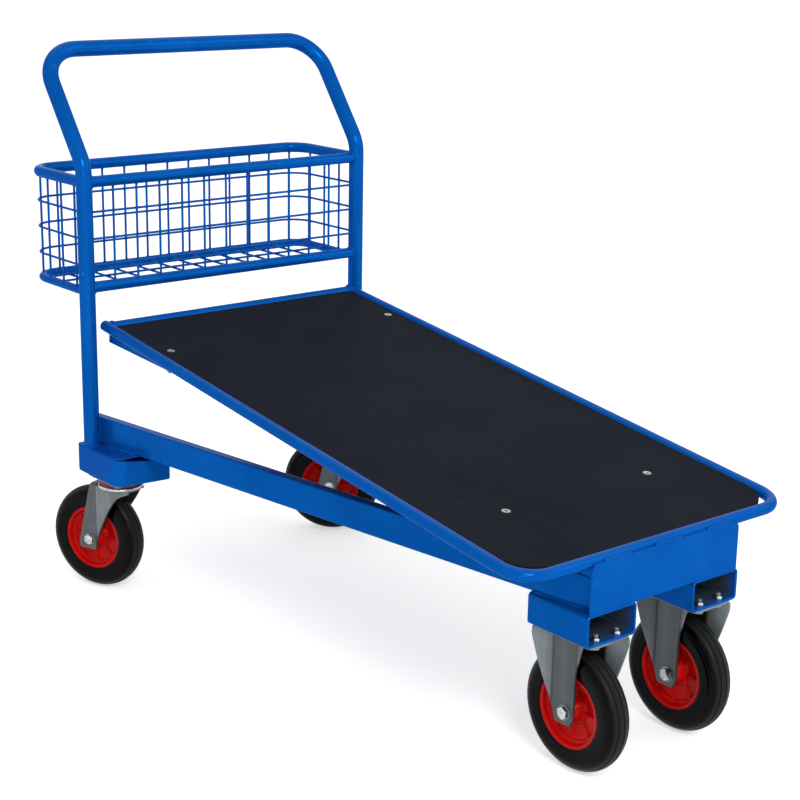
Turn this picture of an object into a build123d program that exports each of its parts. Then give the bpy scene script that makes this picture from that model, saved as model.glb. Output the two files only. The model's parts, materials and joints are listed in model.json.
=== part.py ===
"""Nestable cash and carry trolley.

A sloping platform in a tube frame stands on two rails that close in towards the front.
A bent tube handle rises from the rear castor boxes and carries a wire basket behind it.
Two fixed castors are at the front and two swivel castors at the rear.

Millimetres, +Z up, the front faces -Y. Right and left are those of the person who pushes,
so the right side is at -X. The model is drawn from the leg axes, on the floor, and moved at
the end so that its origin is the bottom centre of its box.
"""
import os
from math import asin, atan2, cos, radians, sin, sqrt, tan

from build123d import *

# Driving dimensions, in millimetres and degrees.
weld_gap = 0.05  # between pieces that are welded together along curved faces
sides = {"right": -1, "left": 1}

# Wheels
wheel_diameter = 200.0
tyre_width = 45.0
tyre_crown = 4.5  # how far the tread rises from its shoulders to its middle
tread_width = 28.0
tyre_shoulder = 9.0  # height of the rounding between the side and the tread
tyre_lean = 1.5  # how far the side has come in where that rounding starts
tyre_round = 1.4  # how far the rounding swells out
groove_width = 2.0
groove_depth = 2.2
groove_places = (-10.0, 0.0, 10.0)  # from the wheel's middle plane
hub_diameter = 122.0
hub_rim_depth = 3.0  # from the hub's flange down to the tyre's seat
hub_rim_wall = 2.5
hub_width = 41.0
hub_flange = 3.5
hub_face_inset = 11.0  # from the flange in to the face of the web
hub_boss_diameter = 34.0
hub_boss_length = 45.0
hub_dish = 2.0  # how far the web falls from its rim to its boss
hub_slope = 3.0  # width of the slopes from the web to the rim and the boss
hub_lip = 1.0
hub_pocket_depth = 3.0
hub_rib_width = 4.0
hub_ribs = 8
bearing_outer = 30.0
sleeve_diameter = 20.0
axle_diameter = 12.0
axle_spanner = 19.0  # across the flats of the head and the nut
axle_head = 7.0
axle_nut = 10.0
axle_tail = 3.0  # thread that stands past the nut
running_gap = 0.05  # radial, between the bearing and its sleeve
wheel_side_gap = 1.5  # between the wheel and the fork's legs
hole_gap = 0.1  # radial, round a bolt

# Castor forks
fork_clearance = 6.0  # from the tyre up to the crown of a swivel fork
castor_plate = 4.0
castor_plate_corner = 8.0
fork_sheet = 3.5
fork_foot = 21.0  # from the axle down to a leg's flat end
fork_corner = 7.0
fixed_plate_width = 92.0
fixed_plate_length = 126.0
fixed_bolt_spacing = (44.0, 104.0)
fixed_leg_front = 22.0  # from the axle forward to the first fold in the leg
fixed_leg_rear = 28.0  # and back to the second fold
fixed_fold = 21.0  # angle by which the wings beyond the folds turn out
fixed_flare = 54.0  # from the axle forward to the leg's end at the plate
fixed_chamfer = 9.0  # width of the cut corners of the leg's foot
fixed_chamfer_height = 14.0
swivel_plate_width = 85.0
swivel_plate_length = 105.0
swivel_bolt_spacing = (60.0, 80.0)
castor_bolt_diameter = 8.0
castor_bolt_spanner = 13.0
castor_bolt_head = 5.3
castor_trail = 55.0
swivel_leg_front = 15.5  # from the axle forward to the fold in the leg
swivel_leg_rear = 26.5  # from the axle back to the leg's edge
swivel_fold = 5.0  # angle by which the wing in front of the fold turns out
swivel_knee = 13.0  # how far the leg has widened where its edge starts to sweep forward
swivel_wing_end = 3.0  # height of the wing's front end
right_castor_swing = 22.0  # the rear castors stand turned, as they stopped rolling
left_castor_swing = 43.0
crown_diameter = 86.0
crown_sheet = 6.0
crown_lip = 3.0
crown_edge = 2.0
crown_bend = 5.0  # rounding where the crown turns down into the legs
race_diameter = 60.0
race_width = 18.0
race_depth = 10.0
ball_diameter = 8.0
balls = 10
ball_gap = 0.3
king_pin_diameter = 12.0
king_pin_spanner = 19.0
king_pin_head = 7.5
seal_wall = 3.0

# Rear castor boxes
box_width = 110.0
box_length = 145.0
box_height = 52.0
box_sheet = 3.0
box_corner = 16.0
box_bend = 5.0  # rounding between the floor and the walls
box_inner_wall = 30.0  # height of the wall on the inside
box_tail = 16.0  # past the leg at the back
box_front_drop = 17.0  # how far the front wall's top edge falls towards the inside
castor_inset = 2.0  # from the box's outer wall to the castor's plate
castor_setback = 9.5  # from the box's front wall to the castor's plate

# Handle
handle_tube = 30.0
handle_wall = 2.0
leg_spacing = 630.0  # between the leg axes
crank_rise = 30.0  # from the basket's top rim to the corner where the handle leans back
handle_rise = 197.0  # from that corner up to the top bar
handle_setback = 147.0  # from the legs back to the top bar
crank_radius = 60.0
handle_corner_radius = 72.0

# Rails, front channels and front plate
rail_height = 53.0
rail_width = 20.0
rail_wall = 2.0
rail_corner = 3.5
rail_tail = 20.0  # past the leg axis at the back
front_track = 230.0  # between the front wheels
rail_over_castor = 30.0  # from the castor's axis out to the rail's outer face, at the plate
channel_width = 104.0
channel_length = 128.0
channel_wall = 4.0
channel_corner = 7.0
plate_sheet = 4.0
plate_corner = 12.0
plate_inset = 5.0  # from the channels' outer faces in to the plate's ends

# Deck
deck_tube = 20.0
deck_wall = 2.0
deck_side_gap = 3.0  # between the deck's frame and the legs
deck_rear_setback = 24.0  # from the leg axes forward to the rear tube
deck_length = 1143.0  # between the axes of the front and rear tubes
deck_slope = 7.5
deck_front_rise = 27.0  # from the rails' top up to the front tube's axis
deck_corner_radius = 50.0
deck_stub = 12.0  # how far the side tubes run past the rear tube
plug_dome = 5.0
plug_depth = 12.0
board_rise = 5.0  # from the tubes' axes up to the board's top
board_gap = 0.5
board_front_corner = 62.0
board_rear_corner = 4.0
board_edge = 1.0
bearer_width = 25.0
bearer_height = 20.0
bearer_wall = 2.0
bearer_corner = 3.0
bearer_inset = 14.5  # from the side tubes' axes in to the bearers' axes, under the rear tube
deck_bolt_places = (163.0, 962.0)  # from the rear tube's axis forward, along the deck
deck_bolt_diameter = 6.0
deck_bolt_head = 15.0
deck_bolt_sink = 0.1  # from the board's top down to the flat heads
deck_nut_spanner = 10.0
deck_nut_height = 5.0
deck_bolt_tail = 3.0

# Basket
rim_tube = 21.0
rim_wall = 1.5
bottom_bar = 16.0
basket_clearance = 66.0  # from the deck's rear tube up to the basket's bottom rim
basket_height = 204.0  # between the axes of the rims
basket_depth = 202.0  # from the leg axes back to the rear rim
basket_corner_radius = 46.0
front_tube_lift = 8.0  # of the lower front tube above the bottom rim
mesh_wire = 4.5
mesh_sink = 0.8  # how far crossing wires are pressed into each other
mesh_pitch = 50.0
mesh_rows = 3
mesh_first_row = 49.0  # from the bottom rim up
front_mesh_shift = -5.0  # of the sheet from the middle
side_mesh_shift = -10.0

# Places that follow from the sizes above
wheel_radius = wheel_diameter / 2
axle_height = wheel_radius
crown_base = wheel_diameter + fork_clearance
crown_top = crown_base + crown_sheet
castor_height = crown_top + ball_diameter / 2 + race_depth + castor_plate
tube_radius = deck_tube / 2
leg_x = leg_spacing / 2
leg_radius = handle_tube / 2
fork_gap = max(hub_boss_length, tyre_width) / 2 + wheel_side_gap  # from the wheel's middle to a leg
fork_face = fork_gap + fork_sheet  # and to the leg's outer face
box_top = castor_height + box_height
box_outer_x = leg_x + leg_radius
box_rear_y = leg_radius + box_tail
box_front_y = box_rear_y - box_length
swivel_x = box_outer_x - castor_inset - swivel_plate_width / 2
swivel_y = box_front_y + castor_setback + swivel_plate_length / 2
rail_top = box_top + rail_height
deck_front_z = rail_top + deck_front_rise
deck_front_y = -deck_rear_setback - deck_length * cos(radians(deck_slope))
deck_rear_z = deck_front_z + deck_length * sin(radians(deck_slope))
deck_half_width = leg_x - leg_radius - deck_side_gap - tube_radius
plate_back_y = deck_front_y - tube_radius
plate_front_y = plate_back_y - plate_sheet
fixed_x = front_track / 2
fixed_y = plate_front_y + channel_length / 2
basket_half_width = leg_x
bottom_rim_z = deck_rear_z + basket_clearance
top_rim_z = bottom_rim_z + basket_height
front_tube_z = bottom_rim_z + front_tube_lift
crank_z = top_rim_z + crank_rise
handle_top_z = crank_z + handle_rise
row_heights = [bottom_rim_z + mesh_first_row + mesh_pitch * row for row in range(mesh_rows)]
wire_step = mesh_wire - mesh_sink
deck_plane = Plane(
    origin=(0, deck_front_y, deck_front_z),
    x_dir=(1, 0, 0),
    z_dir=(0, -sin(radians(deck_slope)), cos(radians(deck_slope))),
)


def tube_along(path, diameter, wall):
    """Hollow round tube whose axis is the path."""
    ring = Circle(diameter / 2) - Circle(diameter / 2 - wall)
    return sweep(Plane(origin=path @ 0, z_dir=path % 0) * ring, path=path)


def rod_along(path, diameter):
    """Solid round bar whose axis is the path."""
    return sweep(Plane(origin=path @ 0, z_dir=path % 0) * Circle(diameter / 2), path=path)


def rod(start, end, diameter):
    """Straight solid round bar between two points."""
    axis = Line(start, end)
    return extrude(Plane(origin=axis @ 0, z_dir=axis % 0) * Circle(diameter / 2), amount=axis.length)


def hexagon(across_flats):
    """Hexagon of a spanner size."""
    return RegularPolygon(across_flats / 2, 6, major_radius=False)


def hex_bolt(diameter, spanner, head, length):
    """Hexagon bolt along Z: the head stands above the origin and the shank hangs below it."""
    return extrude(hexagon(spanner), amount=head) + extrude(Circle(diameter / 2), amount=-length)


def hex_nut(diameter, spanner, height):
    """Hexagon nut that stands on the origin, bored clear of its bolt."""
    return extrude(hexagon(spanner) - Circle(diameter / 2 + hole_gap), amount=height)


def across(spacing):
    """The four corners of a bolt pattern."""
    return [(sx * spacing[0] / 2, sy * spacing[1] / 2) for sx in (-1, 1) for sy in (-1, 1)]


def castor_holes(spacing):
    """Cutters for a castor's four bolts, through the sheet that it hangs from."""
    hole = Cylinder(castor_bolt_diameter / 2 + hole_gap, box_height)
    return Part() + [Pos(x, y, 0) * hole for x, y in across(spacing)]


def leg_cutters(gap=weld_gap):
    """Upright cylinders a gap larger than the legs, which cope what is welded to them."""
    cutter = Pos(0, 0, crank_z / 2) * Cylinder(leg_radius + gap, crank_z)
    return [Pos(x, 0, 0) * cutter for x in (-leg_x, leg_x)]


def handle():
    """Inverted U of one bent tube: upright legs, a crank and a raised top bar with round corners."""
    path = FilletPolyline(
        (-leg_x, 0, box_top),
        (-leg_x, 0, crank_z),
        (-leg_x, handle_setback, handle_top_z),
        (leg_x, handle_setback, handle_top_z),
        (leg_x, 0, crank_z),
        (leg_x, 0, box_top),
        radius=[crank_radius, handle_corner_radius, handle_corner_radius, crank_radius],
    )
    return tube_along(path, handle_tube, handle_wall)


def basket_path(z, outset=0.0):
    """Line round the basket from the right leg, behind it and back to the left leg."""
    half = basket_half_width + outset
    depth = basket_depth + outset
    corners = (-half, 0, z), (-half, depth, z), (half, depth, z), (half, 0, z)
    return FilletPolyline(*corners, radius=basket_corner_radius + outset)


def rim_cutters(z, diameter):
    """Bars a gap larger than the straight sides of a rim, which cope what ends on them."""
    return [
        rod((x, 0, z), (x, basket_depth - basket_corner_radius, z), diameter + 2 * weld_gap)
        for x in (-basket_half_width, basket_half_width)
    ]


def basket_rims():
    """Two bent rims behind the legs and two straight tubes between them, coped to the legs."""
    cutters = leg_cutters()
    bore = rim_tube / 2 - rim_wall
    front = {}
    for name, z, rims in (
        ("top", top_rim_z, rim_cutters(top_rim_z, rim_tube)),
        ("bottom", front_tube_z, rim_cutters(bottom_rim_z, bottom_bar)),
    ):
        bar = rod((-leg_x, 0, z), (leg_x, 0, z), rim_tube) - rod((-leg_x, 0, z), (leg_x, 0, z), 2 * bore)
        front[f"basket_front_{name}_tube"] = bar - cutters - rims
    return {
        "basket_top_rim": tube_along(basket_path(top_rim_z), rim_tube, rim_wall) - cutters,
        "basket_bottom_rim": rod_along(basket_path(bottom_rim_z), bottom_bar) - cutters,
        **front,
    }


def mesh_places(low, high, shift):
    """Places a mesh pitch apart, counted from the shift, that lie between two limits."""
    count = int((high - low) / mesh_pitch) + 2
    places = [shift + mesh_pitch * k for k in range(-count, count + 1)]
    return [place for place in places if low <= place <= high]


def front_mesh():
    """Upright wires between the two front tubes, with rows welded across their front from leg to leg."""
    reach = leg_x - leg_radius - 2 * mesh_wire
    low, high = front_tube_z + rim_tube / 2, top_rim_z - rim_tube / 2
    places = mesh_places(-reach, reach, front_mesh_shift)
    wires = [rod((x, 0, low), (x, 0, high), mesh_wire) for x in places]
    wires += [rod((-leg_x, -wire_step, z), (leg_x, -wire_step, z), mesh_wire) for z in row_heights]
    return Part() + wires - leg_cutters()


def side_mesh():
    """One sheet of mesh wrapped round the sides and the back, its upright wires inside the rows."""
    path = basket_path(bottom_rim_z)
    margin = leg_radius + 2 * mesh_wire
    low, high = bottom_rim_z + bottom_bar / 2, top_rim_z - rim_tube / 2
    half = path.length / 2
    wires = []
    for place in mesh_places(margin - half, half - margin, side_mesh_shift):
        foot = path.position_at(half + place, position_mode=PositionMode.LENGTH)
        wires.append(rod((foot.X, foot.Y, low), (foot.X, foot.Y, high), mesh_wire))
    wires += [rod_along(basket_path(z, wire_step), mesh_wire) for z in row_heights]
    return Part() + wires - leg_cutters()


def floor_mesh():
    """Wires from the front tube back to the bottom rim, with cross wires laid on them."""
    reach = basket_half_width - basket_corner_radius
    back = basket_depth - bottom_bar / 2
    z = bottom_rim_z
    wires = [rod((x, 0, z), (x, back, z), mesh_wire) for x in mesh_places(-reach, reach, side_mesh_shift)]
    straight = basket_depth - basket_corner_radius
    for y in mesh_places(leg_radius + mesh_wire, straight, mesh_pitch):
        ends = basket_half_width, y, z + wire_step
        wires.append(rod((-ends[0], *ends[1:]), ends, mesh_wire))
    tube = rod((-leg_x, 0, front_tube_z), (leg_x, 0, front_tube_z), rim_tube + 2 * weld_gap)
    return Part() + wires - [tube, *rim_cutters(z, bottom_bar)]


def deck_tubes():
    """Bent side tube with the front in one piece, a rear tube coped between its sides, and domed plugs."""
    end = deck_length + deck_stub
    corners = [(-deck_half_width, end), (-deck_half_width, 0), (deck_half_width, 0), (deck_half_width, end)]
    path = FilletPolyline(*corners, radius=deck_corner_radius)
    cutter = Rot(90, 0, 0) * Cylinder(tube_radius + weld_gap, 3 * deck_tube)
    cutters = [Pos(x, deck_length, 0) * cutter for x in (-deck_half_width, deck_half_width)]
    ends = (-deck_half_width, deck_length, 0), (deck_half_width, deck_length, 0)
    rear = rod(*ends, deck_tube) - rod(*ends, deck_tube - 2 * deck_wall) - cutters
    bore = tube_radius - deck_wall - weld_gap
    outline = make_face(
        [
            Polyline((0, plug_dome), (0, -plug_depth), (bore, -plug_depth), (bore, 0), (tube_radius, 0)),
            TangentArc((0, plug_dome), (tube_radius, 0), tangent=(1, 0)),
        ]
    )
    plug = revolve(outline, Axis.Y)
    plugs = [Pos(x, end, 0) * plug for x in (-deck_half_width, deck_half_width)]
    return {
        "deck_side_tube": deck_plane * tube_along(path, deck_tube, deck_wall),
        "deck_rear_tube": deck_plane * rear,
        "deck_tube_plugs": Compound([deck_plane * plug for plug in plugs]),
    }


def bearer_x(forward):
    """Distance of a bearer's axis from the middle, at a distance forward of the rear tube."""
    rear = deck_half_width - bearer_inset
    front = fixed_x + rail_over_castor - rail_width / 2
    return rear + (front - rear) * forward / deck_length


def deck_bolt_points():
    """Where the bolts go through the board, on the deck's own plane."""
    return [
        (side * bearer_x(forward), deck_length - forward, 0)
        for side in sides.values()
        for forward in deck_bolt_places
    ]


def deck_bolt(gap=0.0):
    """Countersunk bolt under the board's top, or with a gap the cutter for it, along Z from that top."""
    shank, head = deck_bolt_diameter / 2 + gap, deck_bolt_head / 2 + gap
    depth = (deck_bolt_head - deck_bolt_diameter) / 2
    length = board_rise + tube_radius + bearer_height + deck_nut_height + deck_bolt_tail
    top = Pos(0, 0, -deck_bolt_sink - depth / 2) * Cone(shank, head, depth)
    bolt = top + Pos(0, 0, -length / 2 - depth / 2) * Cylinder(shank, length - depth)
    return bolt + Cylinder(head, 2 * deck_bolt_sink) if gap else bolt


def deck_bolt_holes():
    """Cutters for the bolts, through the board and the bearers."""
    hole = Pos(0, 0, board_rise) * deck_bolt(hole_gap)
    return [Pos(*point) * hole for point in deck_bolt_points()]


def deck_board():
    """Coated plywood board that lies on the bearers inside the tube frame."""
    half = deck_half_width - tube_radius - board_gap
    front, rear = tube_radius + board_gap, deck_length - tube_radius - board_gap
    outline = Pos(0, (front + rear) / 2) * Rectangle(2 * half, rear - front)
    outline = fillet(outline.vertices().sort_by(Axis.Y)[:2], board_front_corner)
    outline = fillet(outline.vertices().sort_by(Axis.Y)[-2:], board_rear_corner)
    board = extrude(Pos(0, 0, -tube_radius) * outline, amount=tube_radius + board_rise)
    board = chamfer(board.faces().sort_by(Axis.Z)[-1].edges(), board_edge)
    return deck_plane * (board - deck_bolt_holes())


def deck_bearer(side):
    """Rectangular tube under the board that closes in towards the front and lands on the rail."""
    middle = -tube_radius - bearer_height / 2
    rear = Vector(side * bearer_x(0), deck_length, middle)
    front = Vector(side * bearer_x(deck_length), 0, middle)
    ring = hollow_section(bearer_width, bearer_height, bearer_wall, bearer_corner)
    along = front - rear
    section = Plane(origin=rear, x_dir=along.cross(Vector(0, 0, 1)), z_dir=along)
    bearer = deck_plane * (extrude(section * ring, amount=along.length) - deck_bolt_holes())
    below_rail_top = Pos(0, deck_front_y, 0) * Box(leg_spacing, deck_length, 2 * rail_top)
    return bearer - below_rail_top


def deck_bolts():
    """Flat-headed bolts sunk in the board, through the bearers, with nuts underneath."""
    under = -tube_radius - bearer_height
    bolt = deck_bolt()
    nut = Pos(0, 0, -deck_nut_height) * hex_nut(deck_bolt_diameter, deck_nut_spanner, deck_nut_height)
    points = deck_bolt_points()
    return {
        "deck_bolts": Compound([deck_plane * Pos(x, y, board_rise) * bolt for x, y, _ in points]),
        "deck_nuts": Compound([deck_plane * Pos(x, y, under) * nut for x, y, _ in points]),
    }


def hollow_section(width, height, wall, corner):
    """Section of a rectangular tube with round corners."""
    bore = RectangleRounded(width - 2 * wall, height - 2 * wall, max(corner - wall, 0.3))
    return RectangleRounded(width, height, corner) - bore


def side_rail(side):
    """Rectangular tube that touches the leg's inner side and closes in to the front plate."""
    front_x = fixed_x + rail_over_castor
    reach = sqrt((leg_x - front_x) ** 2 + plate_back_y**2)
    heading = atan2(-plate_back_y, leg_x - front_x) + asin((leg_radius + weld_gap) / reach)
    along = Vector(side * cos(heading), sin(heading), 0)
    inward = Vector(-side * sin(heading), cos(heading), 0)
    level = box_top + rail_height / 2
    start = Vector(side * front_x, plate_back_y, level) + inward * (rail_width / 2) - along * rail_width
    section = Plane(origin=start, x_dir=inward, z_dir=along)
    ring = hollow_section(rail_width, rail_height, rail_wall, rail_corner)
    rail = extrude(section * ring, amount=reach + 2 * rail_tail)
    middle = (plate_back_y + rail_tail) / 2
    return rail & Pos(0, middle, level) * Box(leg_spacing, rail_tail - plate_back_y, 2 * rail_height)


def front_plate():
    """Cross plate on the channels, welded along its top to the deck's front tube."""
    width = 2 * (fixed_x + channel_width / 2 - plate_inset)
    height = deck_front_z - box_top
    outline = Rectangle(width, height)
    outline = fillet(outline.vertices().sort_by(Axis.Y)[-2:], plate_corner)
    face = Plane(origin=(0, plate_back_y, box_top + height / 2), x_dir=(1, 0, 0), z_dir=(0, -1, 0))
    return extrude(face * outline, amount=plate_sheet)


def front_channel(side):
    """Short rectangular tube along the trolley, open at both ends, that holds a fixed castor."""
    ring = hollow_section(channel_width, box_height, channel_wall, channel_corner)
    mouth = side * fixed_x, plate_front_y, castor_height + box_height / 2
    channel = extrude(Plane(origin=mouth, x_dir=(1, 0, 0), z_dir=(0, -1, 0)) * ring, amount=-channel_length)
    return channel - Pos(side * fixed_x, fixed_y, castor_height) * castor_holes(fixed_bolt_spacing)


def box_outline(inset):
    """Plan of the left castor box, round at its two outer corners, with its walls set in."""
    width, length = box_width - 2 * inset, box_length - 2 * inset
    middle = box_outer_x - box_width / 2, (box_front_y + box_rear_y) / 2
    plan = Pos(*middle) * Rectangle(width, length)
    return fillet(plan.vertices().sort_by(Axis.X)[-2:], box_corner - inset)


def rear_box(side):
    """Folded tray under the leg: a floor with walls all round, the one on the inside lower."""
    tray = extrude(Pos(0, 0, castor_height) * box_outline(0), amount=box_height)
    tray = fillet(tray.faces().sort_by(Axis.Z)[0].edges(), box_bend)
    tray -= extrude(Pos(0, 0, castor_height + box_sheet) * box_outline(box_sheet), amount=box_height)
    gap = box_length - 2 * box_sheet, box_height - box_inner_wall
    middle = box_outer_x - box_width, (box_front_y + box_rear_y) / 2, box_top - gap[1] / 2
    tray -= Pos(*middle) * Box(4 * box_sheet, *gap)
    drop = make_face(
        Polyline(
            (box_outer_x - box_corner, box_top),
            (box_outer_x - box_width, box_top - box_front_drop),
            (box_outer_x - box_width, box_top),
            close=True,
        )
    )
    tray -= Pos(0, box_front_y, 0) * extrude(Plane.XZ * drop, amount=-box_sheet)
    holes = castor_holes(swivel_bolt_spacing) + Cylinder(king_pin_spanner, 4 * box_sheet)
    tray -= Pos(swivel_x, swivel_y, castor_height) * holes
    return tray if side > 0 else mirror(tray, about=Plane.YZ)


def rear_box_cap(side):
    """Plate that closes the tray level with its walls, under the leg and the rail."""
    plan = box_outline(box_sheet + weld_gap)
    cap = extrude(Pos(0, 0, box_top - box_sheet) * plan, amount=box_sheet)
    return cap if side > 0 else mirror(cap, about=Plane.YZ)


def fork_leg(front, rear, front_fold, rear_fold, outline, top):
    """Pressed fork leg on the -X side of a wheel at the origin's plane.

    An upright strip lies beside the wheel between the front and rear folds, which are measured
    from the axle, and the sheet beyond each fold turns out. The outline trims all of it.
    """
    reach = wheel_radius
    line = [
        (-reach * tan(radians(front_fold)), -front - reach),
        (0, -front),
        (0, rear),
        (-reach * tan(radians(rear_fold)), rear + reach),
    ]
    outside = [(x - fork_face, y) for x, y in line]
    inside = [(x - fork_gap, y) for x, y in reversed(line)]
    section = make_face(Polyline(*outside, *inside, close=True))
    leg = extrude(Pos(0, 0, axle_height - fork_foot) * section, amount=top - axle_height + fork_foot)
    return leg & extrude(Plane.YZ * outline, amount=-2 * wheel_diameter)


def axle_hole():
    """Cutter for the axle bolt, through both legs."""
    return Rot(0, 90, 0) * Cylinder(axle_diameter / 2 + hole_gap, 2 * wheel_diameter)


def fixed_fork():
    """Fixed castor fork, wheel at the origin's plane: a top plate and two legs, alike by half a turn."""
    under = castor_height - castor_plate
    back = fixed_plate_length / 2
    front, rear, cut = fixed_leg_front, fixed_leg_rear, fixed_chamfer
    foot, low, span = axle_height - fork_foot, axle_height, under - axle_height
    waist = -front, low + span / 2
    outline = make_face(
        [
            Polyline((rear - cut, foot), (rear, low), (back, low + 0.82 * span), (back, under)),
            Line((back, under), (-fixed_flare, under)),
            ThreePointArc((-fixed_flare, under), (-front - cut, low + 0.8 * span), waist),
            Polyline(waist, (-front, foot + fixed_chamfer_height), (cut - front, foot)),
            Line((cut - front, foot), (rear - cut, foot)),
        ]
    )
    leg = fork_leg(front, rear, fixed_fold, fixed_fold, outline, under)
    plate = RectangleRounded(fixed_plate_width, fixed_plate_length, castor_plate_corner)
    top = extrude(Pos(0, 0, under) * plate, amount=castor_plate)
    top -= Pos(0, 0, under) * castor_holes(fixed_bolt_spacing)
    return top + leg + Rot(0, 0, 180) * leg - Pos(0, 0, axle_height) * axle_hole()


def swivel_heights():
    """Levels in the swivel head: the plate's underside, the race, the balls and the crown's top."""
    race = crown_top + ball_diameter / 2
    return race + race_depth, race, race - ball_diameter / 4, crown_top


def ball_groove(gap):
    """Cutter for the track of the balls, a gap larger than they are."""
    track = Pos(race_diameter / 2, swivel_heights()[2]) * Circle(ball_diameter / 2 + gap)
    return revolve(Plane.XZ * track, Axis.Z)


def swivel_fork():
    """Swivel fork about its king pin: a lipped crown over two mirrored legs that trail behind."""
    crown, base = crown_top, crown_base
    rim = crown_diameter / 2
    trail = castor_trail
    profile = Polyline(
        (king_pin_diameter / 2 + running_gap, base),
        (rim - crown_edge, base),
        (rim, base + crown_edge),
        (rim, crown + crown_lip),
        (rim - crown_lip, crown + crown_lip),
        (rim - crown_lip, crown),
        (king_pin_diameter / 2 + running_gap, crown),
        close=True,
    )
    dish = revolve(Plane.XZ * make_face(profile), Axis.Z)
    tongue = Pos(0, trail / 2, base + crown_sheet / 2) * Box(2 * fork_face, trail, crown_sheet)
    tongue = fillet(tongue.edges().filter_by(Axis.Y).group_by(Axis.Z)[-1], crown_bend)
    front, rear = swivel_leg_front, swivel_leg_rear
    foot, low, span = axle_height - fork_foot, axle_height, base - axle_height
    knee = -front - swivel_knee, low + span / 3
    tip = -rim - trail, base - swivel_wing_end
    outline = make_face(
        [
            Polyline((rear, foot), (rear, low - fork_corner), (0, base + crown_edge)),
            Polyline((0, base + crown_edge), (-rim - trail, base + crown_edge), tip),
            ThreePointArc(tip, (-trail, low + 0.72 * span), knee),
            Polyline(knee, (-front, low - fork_corner), (-front, foot), (rear, foot)),
        ]
    )
    outline = fillet(outline.vertices().group_by(Axis.Y)[0], fork_corner)
    under_crown = Cylinder(rim, 4 * base) + Pos(0, trail, 0) * Box(4 * rim, 2 * trail, 4 * base)
    leg = Pos(0, trail, 0) * fork_leg(front, rear, swivel_fold, 0, outline, base + crown_edge) & under_crown
    pin_hole = Cylinder(king_pin_diameter / 2 + running_gap, 4 * base)
    fork = dish + tongue + leg + mirror(leg, about=Plane.YZ) - [ball_groove(ball_gap), pin_hole]
    return fork - Pos(0, trail, axle_height) * axle_hole()


def swivel_plate():
    """Top plate of a swivel castor with the upper ball race pressed down from it."""
    under, race, _, _ = swivel_heights()
    plate = RectangleRounded(swivel_plate_width, swivel_plate_length, castor_plate_corner)
    plate -= Circle(king_pin_diameter / 2 + hole_gap)
    ring = Circle((race_diameter + race_width) / 2 - seal_wall) - Circle((race_diameter - race_width) / 2)
    body = extrude(Pos(0, 0, under) * plate, amount=castor_plate)
    body -= Pos(0, 0, under) * castor_holes(swivel_bolt_spacing)
    body += extrude(Pos(0, 0, race) * ring, amount=race_depth)
    return body - ball_groove(weld_gap)


def swivel_balls():
    """Ring of balls in the upper race."""
    ball = Pos(0, 0, swivel_heights()[2]) * Sphere(ball_diameter / 2)
    return Compound([place * ball for place in PolarLocations(race_diameter / 2, balls)])


def swivel_seal():
    """Dust seal round the race, above the crown's lip."""
    under, _, _, crown = swivel_heights()
    outer = crown_diameter / 2 - crown_lip - ball_gap * 2
    inner = (race_diameter + race_width) / 2 - seal_wall + weld_gap
    ring = Circle(outer) - Circle(inner)
    return extrude(Pos(0, 0, crown + ball_gap) * ring, amount=under - crown - ball_gap)


def king_pin():
    """Bolt that holds the fork to the plate, head up in the box, with its nut under the crown."""
    nut_top = crown_base - ball_gap
    length = castor_height - nut_top + axle_nut
    bolt = hex_bolt(king_pin_diameter, king_pin_spanner, king_pin_head, length)
    nut = hex_nut(king_pin_diameter, king_pin_spanner, axle_nut)
    return Compound([Pos(0, 0, castor_height) * bolt, Pos(0, 0, nut_top - axle_nut) * nut])


def axle():
    """Axle bolt with its head on the right, its nut, and the sleeve clamped between the legs."""
    bolt = hex_bolt(axle_diameter, axle_spanner, axle_head, 2 * fork_face + axle_nut + axle_tail)
    nut = hex_nut(axle_diameter, axle_spanner, axle_nut)
    ring = Circle(sleeve_diameter / 2) - Circle(axle_diameter / 2 + 2 * hole_gap)
    sleeve = extrude(ring, amount=fork_gap - weld_gap, both=True)
    pieces = [Pos(0, 0, fork_face) * bolt, Pos(0, 0, -fork_face - axle_nut) * nut, sleeve]
    return Compound([Rot(0, -90, 0) * piece for piece in pieces])


def tyre():
    """Solid rubber tyre about X: a seat between the hub's flanges, round sides and a grooved tread."""
    seat = hub_diameter / 2 - hub_rim_depth + weld_gap
    bead = hub_diameter / 2 + weld_gap
    side = tyre_width / 2
    well = hub_width / 2 - hub_flange - weld_gap
    shoulder, tread = wheel_radius - tyre_crown, tread_width / 2
    bulge = (bead + shoulder) / 2
    knee = side - tyre_lean, shoulder - tyre_shoulder
    half = [
        Polyline((0, seat), (well, seat), (well, bead), (hub_width / 2, bead)),
        TangentArc((side, bulge), (hub_width / 2, bead), tangent=(0, -1)),
        TangentArc((side, bulge), knee, tangent=(0, 1)),
        SagittaArc(knee, (tread, shoulder), -tyre_round),
        TangentArc((0, wheel_radius), (tread, shoulder), tangent=(1, 0)),
        Line((0, wheel_radius), (0, seat)),
    ]
    right = make_face(half)
    section = right + mirror(right, about=Plane.YZ)
    section -= [Pos(x, wheel_radius) * Rectangle(groove_width, 2 * groove_depth) for x in groove_places]
    return revolve(section, Axis.X)


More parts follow.
